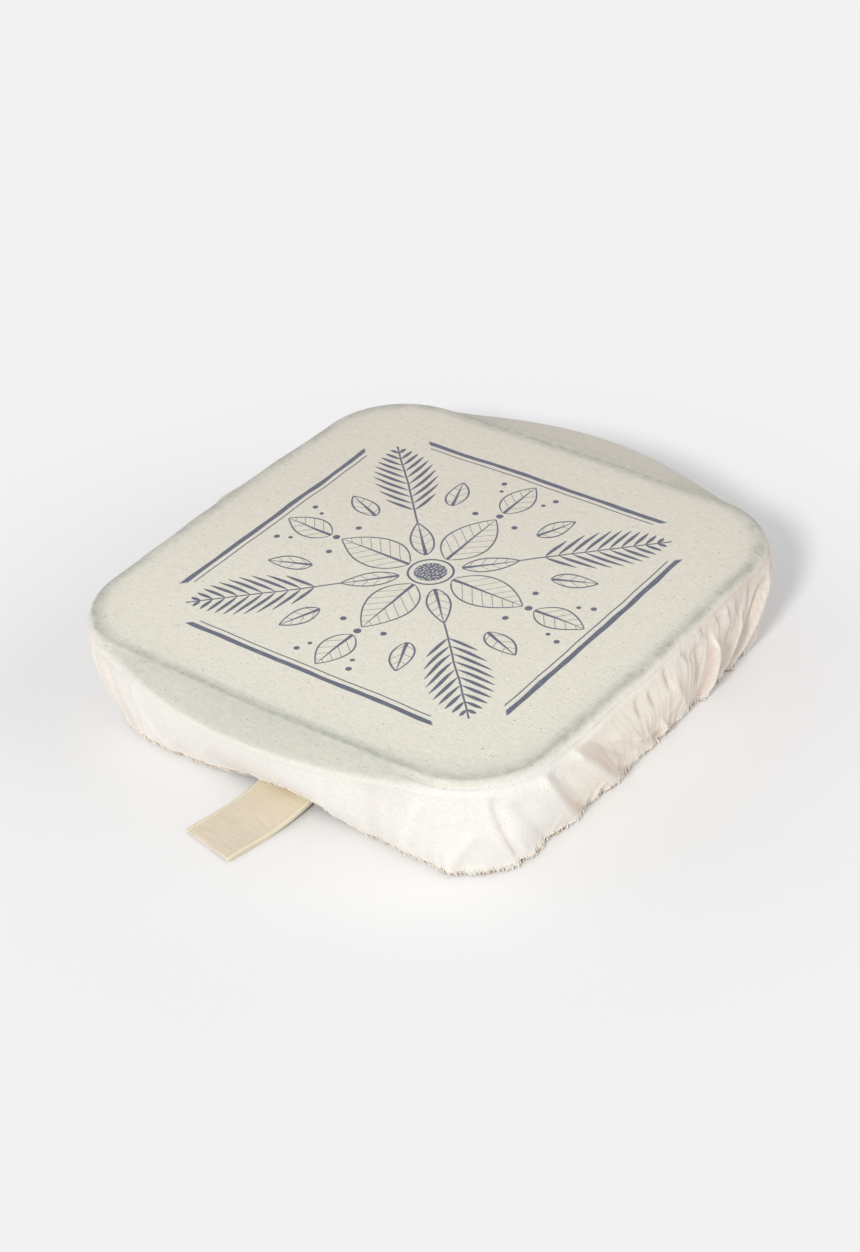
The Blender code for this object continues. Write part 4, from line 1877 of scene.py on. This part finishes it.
@dataclass(frozen=True)
class CottonFinish:
    """Undyed plain-weave cotton with seed flecks, uneven yarns and a slate print."""

    ink_share: float
    # Whether the crease line and the painted shade below it are laid on
    with_dish_line_and_shade: bool
    top: tuple = srgb(241, 239, 225)
    # The skirt is the top's cloth, painted lighter for the stronger light on it
    skirt: tuple = srgb(245, 243, 240)
    # Painted light: a lighter, warmer skirt on the gathered side, which gets little light
    gathered: tuple = srgb(254, 246, 234)
    # Painted shade on the far end of the gathered side
    dim: tuple = srgb(229, 216, 205)
    # Painted shade in the folds' valleys and on flanks turned along the rim
    hollow: tuple = srgb(216, 192, 178)
    # Painted highlight on the folds' crests; also the lighter thick yarns
    crest: tuple = srgb(255, 252, 244)
    # Grey-green line along the crease: the dish's rim seen through, and painted shade
    line: tuple = srgb(162, 169, 165)
    band: tuple = srgb(218, 215, 203)
    hem: tuple = srgb(240, 229, 211)
    # Painted shade, darker towards the back and the left
    back_shade: tuple = srgb(231, 226, 226)
    fleck: tuple = srgb(112, 94, 76)
    ink: tuple = srgb(88, 94, 116)
    cloud: tuple = srgb(236, 228, 208)
    grain: tuple = srgb(208, 202, 189)
    between: tuple = srgb(200, 192, 175)
    shade: tuple = srgb(176, 168, 150)
    relief: float = 0.00022
    yarn_pitch: float = 0.00048

    def yarns(self, graph: Graph, place: Value) -> tuple[Value, Value]:
        """Weave height and slubs.

        The weave is the product of two sine waves a yarn apart. Slubs are noise drawn out
        along the weft and, less strongly, along the warp.

        Args:
            graph: The material.
            place: Place on the flat cloth.

        Returns:
            Height of the weave, and the thickness of the yarns, both 0 to 1.
        """
        rate = math.pi / self.yarn_pitch
        x, y = graph.split(place)
        over = graph.math("SINE", x * rate) * graph.math("SINE", y * rate)
        weft = graph.noise(graph.stretch(place, 190.0, 1300.0), 1.0, 2.0, 0.6)
        warp = graph.noise(graph.stretch(place, 1200.0, 260.0), 1.0, 2.0, 0.6)
        return over * 0.5 + 0.5, weft * 0.6 + warp * 0.4

    def flecks(self, graph: Graph, place: Value) -> Value:
        """Dark bits of seed husk: small spots in a few of the cells of two cell patterns.

        Args:
            graph: The material.
            place: Place on the flat cloth.

        Returns:
            Strength of the spots.
        """
        found = None
        for scale, size, share in ((430.0, 0.15, 0.952), (170.0, 0.075, 0.93)):
            cells = graph.node(
                "ShaderNodeTexVoronoi",
                {"feature": "F1", "voronoi_dimensions": "2D"},
                {"Vector": graph.stretch(place, 1.0, 1.45), "Scale": scale},
            )
            chosen, _ = graph.split(cells.part("Color"))
            few = graph.step(chosen, share, share + 0.02)
            spot = graph.step(cells, 0.4 * size, size, 1.0, 0.0) * few
            found = spot if found is None else found.most(spot)
        return found

    def make(self, name: str) -> bpy.types.Material:
        """Build the material.

        Args:
            name: Its name.

        Returns:
            The material.
        """
        graph = Graph.named(name)
        place = graph.cloth_place()
        weave, slubs = self.yarns(graph, place)
        skirt = graph.attribute("skirt")
        gathered = graph.attribute("gathered")
        # Painted light on the gathered side, and painted shade at its far end
        below = graph.mix(gathered, self.skirt, self.gathered)
        below = graph.mix(graph.attribute("dim"), below, self.dim)
        colour = graph.layers(
            # The skirt painted lighter than the top for the stronger light on it
            graph.mix(skirt, self.top, below),
            # Painted shade on flanks and in valleys, and painted highlight on crests
            (graph.attribute("flank") * skirt * (0.10 + 0.52 * gathered), self.hollow),
            (graph.attribute("hollow") * skirt * (0.15 + 0.35 * gathered), self.hollow),
            (graph.attribute("crest") * skirt * 0.8, self.crest),
            (graph.attribute("hem") * 0.30, self.hem),
        )
        if self.with_dish_line_and_shade:
            patchy = graph.step(graph.noise(place, 260.0, 4.0, 0.7), 0.30, 0.62, 0.62, 1.0)
            colour = graph.layers(
                colour,
                (graph.attribute("lug_band"), self.band),
                # Crease line and the painted shade below it
                (graph.attribute("dish_line") * patchy, self.line),
            )
        cloudy = graph.step(graph.noise(place, 22.0, 3.0), 0.3, 0.7)
        across, deep = graph.split(graph.object_place())
        grain = graph.step(graph.noise(place, 900.0, 3.0, 0.75), 0.32, 0.68)
        thin = graph.step(slubs, 0.36, 0.64)
        colour = graph.layers(
            colour,
            (cloudy * 0.08, self.cloud, "MULTIPLY"),
            # Painted shade towards the back and the left
            (graph.step(deep - across * 0.4, -0.14, 0.15), self.back_shade, "MULTIPLY"),
            (grain * (0.42 - 0.14 * skirt), self.grain),
            ((1 - thin) * (0.22 - 0.08 * skirt), self.between),
            (thin * 0.16, self.crest),
            ((1 - weave) * 0.02, self.shade),
            (self.flecks(graph, place) * (0.85 - 0.4 * skirt), self.fleck),
        )
        if self.ink_share > 0:
            wear = 0.86 + 0.14 * graph.step(slubs, 0.34, 0.5)
            colour = graph.mix(LeafPrint().ink(graph) * wear * self.ink_share, colour, self.ink)
        roughness = 0.82 + 0.12 * thin
        height = weave * 0.10 + slubs * 0.90
        constants = {"Specular IOR Level": 0.25, "Sheen Weight": 0.08, "Sheen Roughness": 0.5}
        return graph.finish(colour, roughness, height, self.relief, constants)


@dataclass(frozen=True)
class ThreadFinish:
    """Soft spun thread, part cream and part tan."""

    cream: tuple = srgb(254, 251, 244)
    tan: tuple = srgb(228, 208, 180)
    gap: tuple = srgb(176, 152, 126)
    relief: float = 0.00006

    def make(self, name: str) -> bpy.types.Material:
        """Build the material.

        Args:
            name: Its name.

        Returns:
            The material.
        """
        graph = Graph.named(name)
        fuzz = graph.noise(graph.object_place(), 5200.0, 2.0)
        colour = graph.mix(graph.attribute("tone"), self.cream, self.tan)
        colour = graph.mix(graph.step(fuzz, 0.35, 0.6, 0.20, 0.0), colour, self.gap)
        roughness = 0.78 + 0.18 * fuzz
        return graph.finish(colour, roughness, fuzz, self.relief, {"Specular IOR Level": 0.25})


@dataclass(frozen=True)
class RibbonFinish:
    """Bare woven ribbon: fine ribs across, a close double edge and a warm root."""

    half_width: float = 0.0135
    face: tuple = srgb(224, 211, 194)
    root: tuple = srgb(240, 228, 198)
    selvedge: tuple = srgb(248, 239, 214)
    groove: tuple = srgb(198, 180, 138)
    between: tuple = srgb(190, 172, 132)
    bright: tuple = srgb(252, 246, 226)
    dull: tuple = srgb(206, 190, 150)
    rib_pitch: float = 0.00062
    end_pitch: float = 0.00050
    relief: float = 0.00016

    def make(self, name: str) -> bpy.types.Material:
        """Build the material.

        Args:
            name: Its name.

        Returns:
            The material.
        """
        graph = Graph.named(name)
        place = graph.cloth_place()
        x, y = graph.split(place)
        ribs = graph.math("SINE", y * (2 * math.pi / self.rib_pitch)) * 0.5 + 0.5
        ends = graph.math("SINE", x * (2 * math.pi / self.end_pitch)) * 0.5 + 0.5
        uneven = graph.noise(graph.stretch(place, 90.0, 1300.0), 1.0, 2.0)
        edge = graph.step(abs(x), self.half_width - 0.0016, self.half_width - 0.0012)
        gap = graph.step(abs(abs(x) - (self.half_width - 0.0019)), 0.00010, 0.00025, 1.0, 0.0)
        patchy = graph.step(graph.noise(place, 120.0), 0.35, 0.65, 0.12, 0.0)
        colour = graph.layers(
            graph.mix(graph.attribute("near_hem") * 0.6, self.face, self.root),
            (edge * 0.7, self.selvedge),
            (gap * 0.35, self.groove),
            ((1 - ribs) * 0.14, self.between),
            (graph.step(uneven, 0.4, 0.62, 0.0, 0.22), self.bright),
            (patchy, self.dull),
        )
        height = ribs * 0.5 + ends * 0.2 + uneven * 0.3
        roughness = 0.62 + 0.2 * uneven
        return graph.finish(colour, roughness, height, self.relief, {"Specular IOR Level": 0.35})


@dataclass(frozen=True)
class ElasticFinish:
    """Knitted white elastic: rubber cores under ribs of yarn."""

    yarn: tuple = srgb(240, 238, 232)
    groove: tuple = srgb(196, 192, 184)
    rib_pitch: float = 0.0011
    relief: float = 0.0002

    def make(self, name: str) -> bpy.types.Material:
        """Build the material.

        Args:
            name: Its name.

        Returns:
            The material.
        """
        graph = Graph.named(name)
        place = graph.object_place()
        above = graph.split(place)[0].part("Z")
        ribs = graph.math("SINE", above * (2 * math.pi / self.rib_pitch)) * 0.5 + 0.5
        knit = graph.noise(place, 2600.0, 2.0)
        colour = graph.mix(ribs * 0.7 + knit * 0.3, self.groove, self.yarn)
        roughness, height = 0.6 + 0.25 * knit, ribs * 0.6 + knit * 0.4
        return graph.finish(colour, roughness, height, self.relief, {"Specular IOR Level": 0.4})


@dataclass(frozen=True)
class Lamp:
    """A broad distant lamp: direction from the cover to it, strength and width in degrees."""

    name: str
    towards: tuple[float, float, float]
    strength: float
    spread: float


@dataclass
class Studio:
    """Camera, lamps, floor and surroundings."""

    centre: tuple[float, float]
    azimuth: float = math.radians(38.76)
    elevation: float = math.radians(35.20)
    roll: float = math.radians(-3.69)
    lens: float = 73.4
    aim_height: float = 0.05346
    distance: float = 1.0661
    aside: float = -0.000287
    below: float = -0.0224
    backdrop: tuple = srgb(242, 242, 242)
    floor_reach: float = 4.0
    floor_gap: float = 0.0003
    floor_seen: tuple = srgb(246.4, 246.4, 246.4)
    # Floor grain, and painted shade round the cover
    floor_tint: tuple = srgb(238, 238, 239)
    world_strength: float = 0.570
    sensor: float = 36.0
    nearest: float = 0.01
    lamps: tuple[Lamp, ...] = (
        Lamp("window_lamp", (0.24, -0.80, 0.54), 1.66, 8),
        Lamp("fill_lamp", (0.80, 0.30, 0.50), 0.48, 40),
        Lamp("side_lamp", (-0.75, -0.42, 0.50), 0.20, 40),
    )

    def camera(self) -> bpy.types.Object:
        """Camera that looks down on the cover.

        The view direction comes from azimuth and elevation, the picture is rolled about
        it, and the camera stands back along it and a little aside.

        Returns:
            The camera.
        """
        turn, rise = self.azimuth, self.elevation
        level = math.cos(rise)
        back = np.array([math.sin(turn) * level, -math.cos(turn) * level, math.sin(rise)])
        right = unit(np.cross([0.0, 0.0, 1.0], back))
        upward = np.cross(back, right)
        side = math.cos(self.roll) * right + math.sin(self.roll) * upward
        top = -math.sin(self.roll) * right + math.cos(self.roll) * upward
        place = np.array([*self.centre, self.aim_height]) + back * self.distance
        place = place + side * self.aside + top * self.below
        data = bpy.data.cameras.new("camera")
        data.lens = self.lens
        data.sensor_width = self.sensor
        data.sensor_fit = "AUTO"
        data.clip_start = self.nearest
        camera = bpy.data.objects.new("camera", data)
        columns = np.stack([side, top, back, place], axis=-1)
        camera.matrix_world = Matrix([*columns.tolist(), [0.0, 0.0, 0.0, 1.0]])
        bpy.context.scene.collection.objects.link(camera)
        bpy.context.scene.camera = camera
        return camera

    def light(self, lamp: Lamp) -> None:
        """Hang a lamp.

        Args:
            lamp: What it is like.
        """
        data = bpy.data.lights.new(lamp.name, "SUN")
        data.energy = lamp.strength
        data.angle = math.radians(lamp.spread)
        hung = bpy.data.objects.new(lamp.name, data)
        hung.rotation_euler = Vector(lamp.towards).to_track_quat("Z", "Y").to_euler()
        bpy.context.scene.collection.objects.link(hung)

    def surroundings(self) -> None:
        """Even light from all round, seen as the pale backdrop.

        The backdrop's colour is for rays from the camera, in gloss and through cloth; the
        light is for all others.
        """
        world = bpy.data.worlds.new("surroundings")
        bpy.context.scene.world = world
        graph = Graph(world)
        rays = graph.node("ShaderNodeLightPath", output="Is Camera Ray")
        seen = rays.most(rays.part("Is Glossy Ray")).most(rays.part("Is Transmission Ray"))
        sources = ((srgb(255, 255, 255), self.world_strength), (self.backdrop, 1.0))
        lit, shown = (
            graph.node("ShaderNodeBackground", inputs={"Color": colour, "Strength": strength})
            for colour, strength in sources
        )
        both = graph.node("ShaderNodeMixShader", inputs={0: seen, 1: lit, 2: shown})
        graph.put_out(both, "ShaderNodeOutputWorld")

    def floor(self) -> None:
        """A plain pale floor just under the cover, which keeps its shadow.

        Its colour is a little darker round the cover, by the distance from the middle: painted
        shade that takes off the light the cover throws onto the floor.
        """
        graph = Graph.named("floor_paint")
        place = graph.object_place()
        grain = graph.noise(place, 9.0, 2.0)
        across, deep = graph.split(place)
        from_middle = (across**2 + deep**2) ** 0.5
        rays = graph.node("ShaderNodeLightPath", output="Is Camera Ray")
        colour = graph.layers(
            graph.mix(rays, self.backdrop, self.floor_seen),
            (grain * 0.04, self.floor_tint),
            # Painted shade round the cover
            (graph.step(from_middle, 0.13, 0.30, 0.6, 0.0), self.floor_tint),
        )
        material = graph.finish(colour, 0.9, None, 0.0, {"Specular IOR Level": 0.0})
        corners = np.array([[-1, -1, 0], [1, -1, 0], [1, 1, 0], [-1, 1, 0]]) * self.floor_reach
        corners[:, 2] = -self.floor_gap
        floor = new_piece("studio_floor", corners, np.array([[0, 1, 2, 3]]), smooth=False)
        floor.data.materials.append(material)

    def build(self) -> None:
        """Set up everything that isn't the cover."""
        self.camera()
        for lamp in self.lamps:
            self.light(lamp)
        self.surroundings()
        self.floor()
        bpy.context.scene.view_settings.view_transform = "Standard"


def main() -> None:
    """Load the frame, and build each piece."""
    logging.basicConfig(level=logging.INFO, format="%(message)s")
    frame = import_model()
    mount = next(m for m in frame["record"]["mounts"] if m["name"] == TOP_MOUNT)
    centre = (mount["pos_m"][0], mount["pos_m"][1])
    form = CoverForm(centre, float(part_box(CLOTH_NODE)[1].z))

    Studio(centre).build()
    cotton = CottonFinish(ink_share=0.94, with_dish_line_and_shade=True).make("natural_cotton")
    reverse = CottonFinish(ink_share=0.0, with_dish_line_and_shade=False).make("cotton_reverse")
    thread_paint = ThreadFinish().make("overlock_thread")

    cloth = CoverCloth(form)
    body = cloth.build(cotton, reverse)
    thread = HemStitching(form, body).build(thread_paint)
    fibres = HemFibres(form, body).build(thread_paint)
    ribbon = LabelRibbon(form, body)
    label = ribbon.build(RibbonFinish().make("label_ribbon"))
    cloth.declare(body.piece, [thread, fibres])
    ribbon.declare(label)
    elastic = ElasticRing(form, body).build(ElasticFinish().make("elastic_white"))
    for piece in (body.piece, thread, fibres, label, elastic):
        LOG.info("%s: %d points", piece.name, len(piece.data.vertices))


if __name__ == "__main__":
    main()
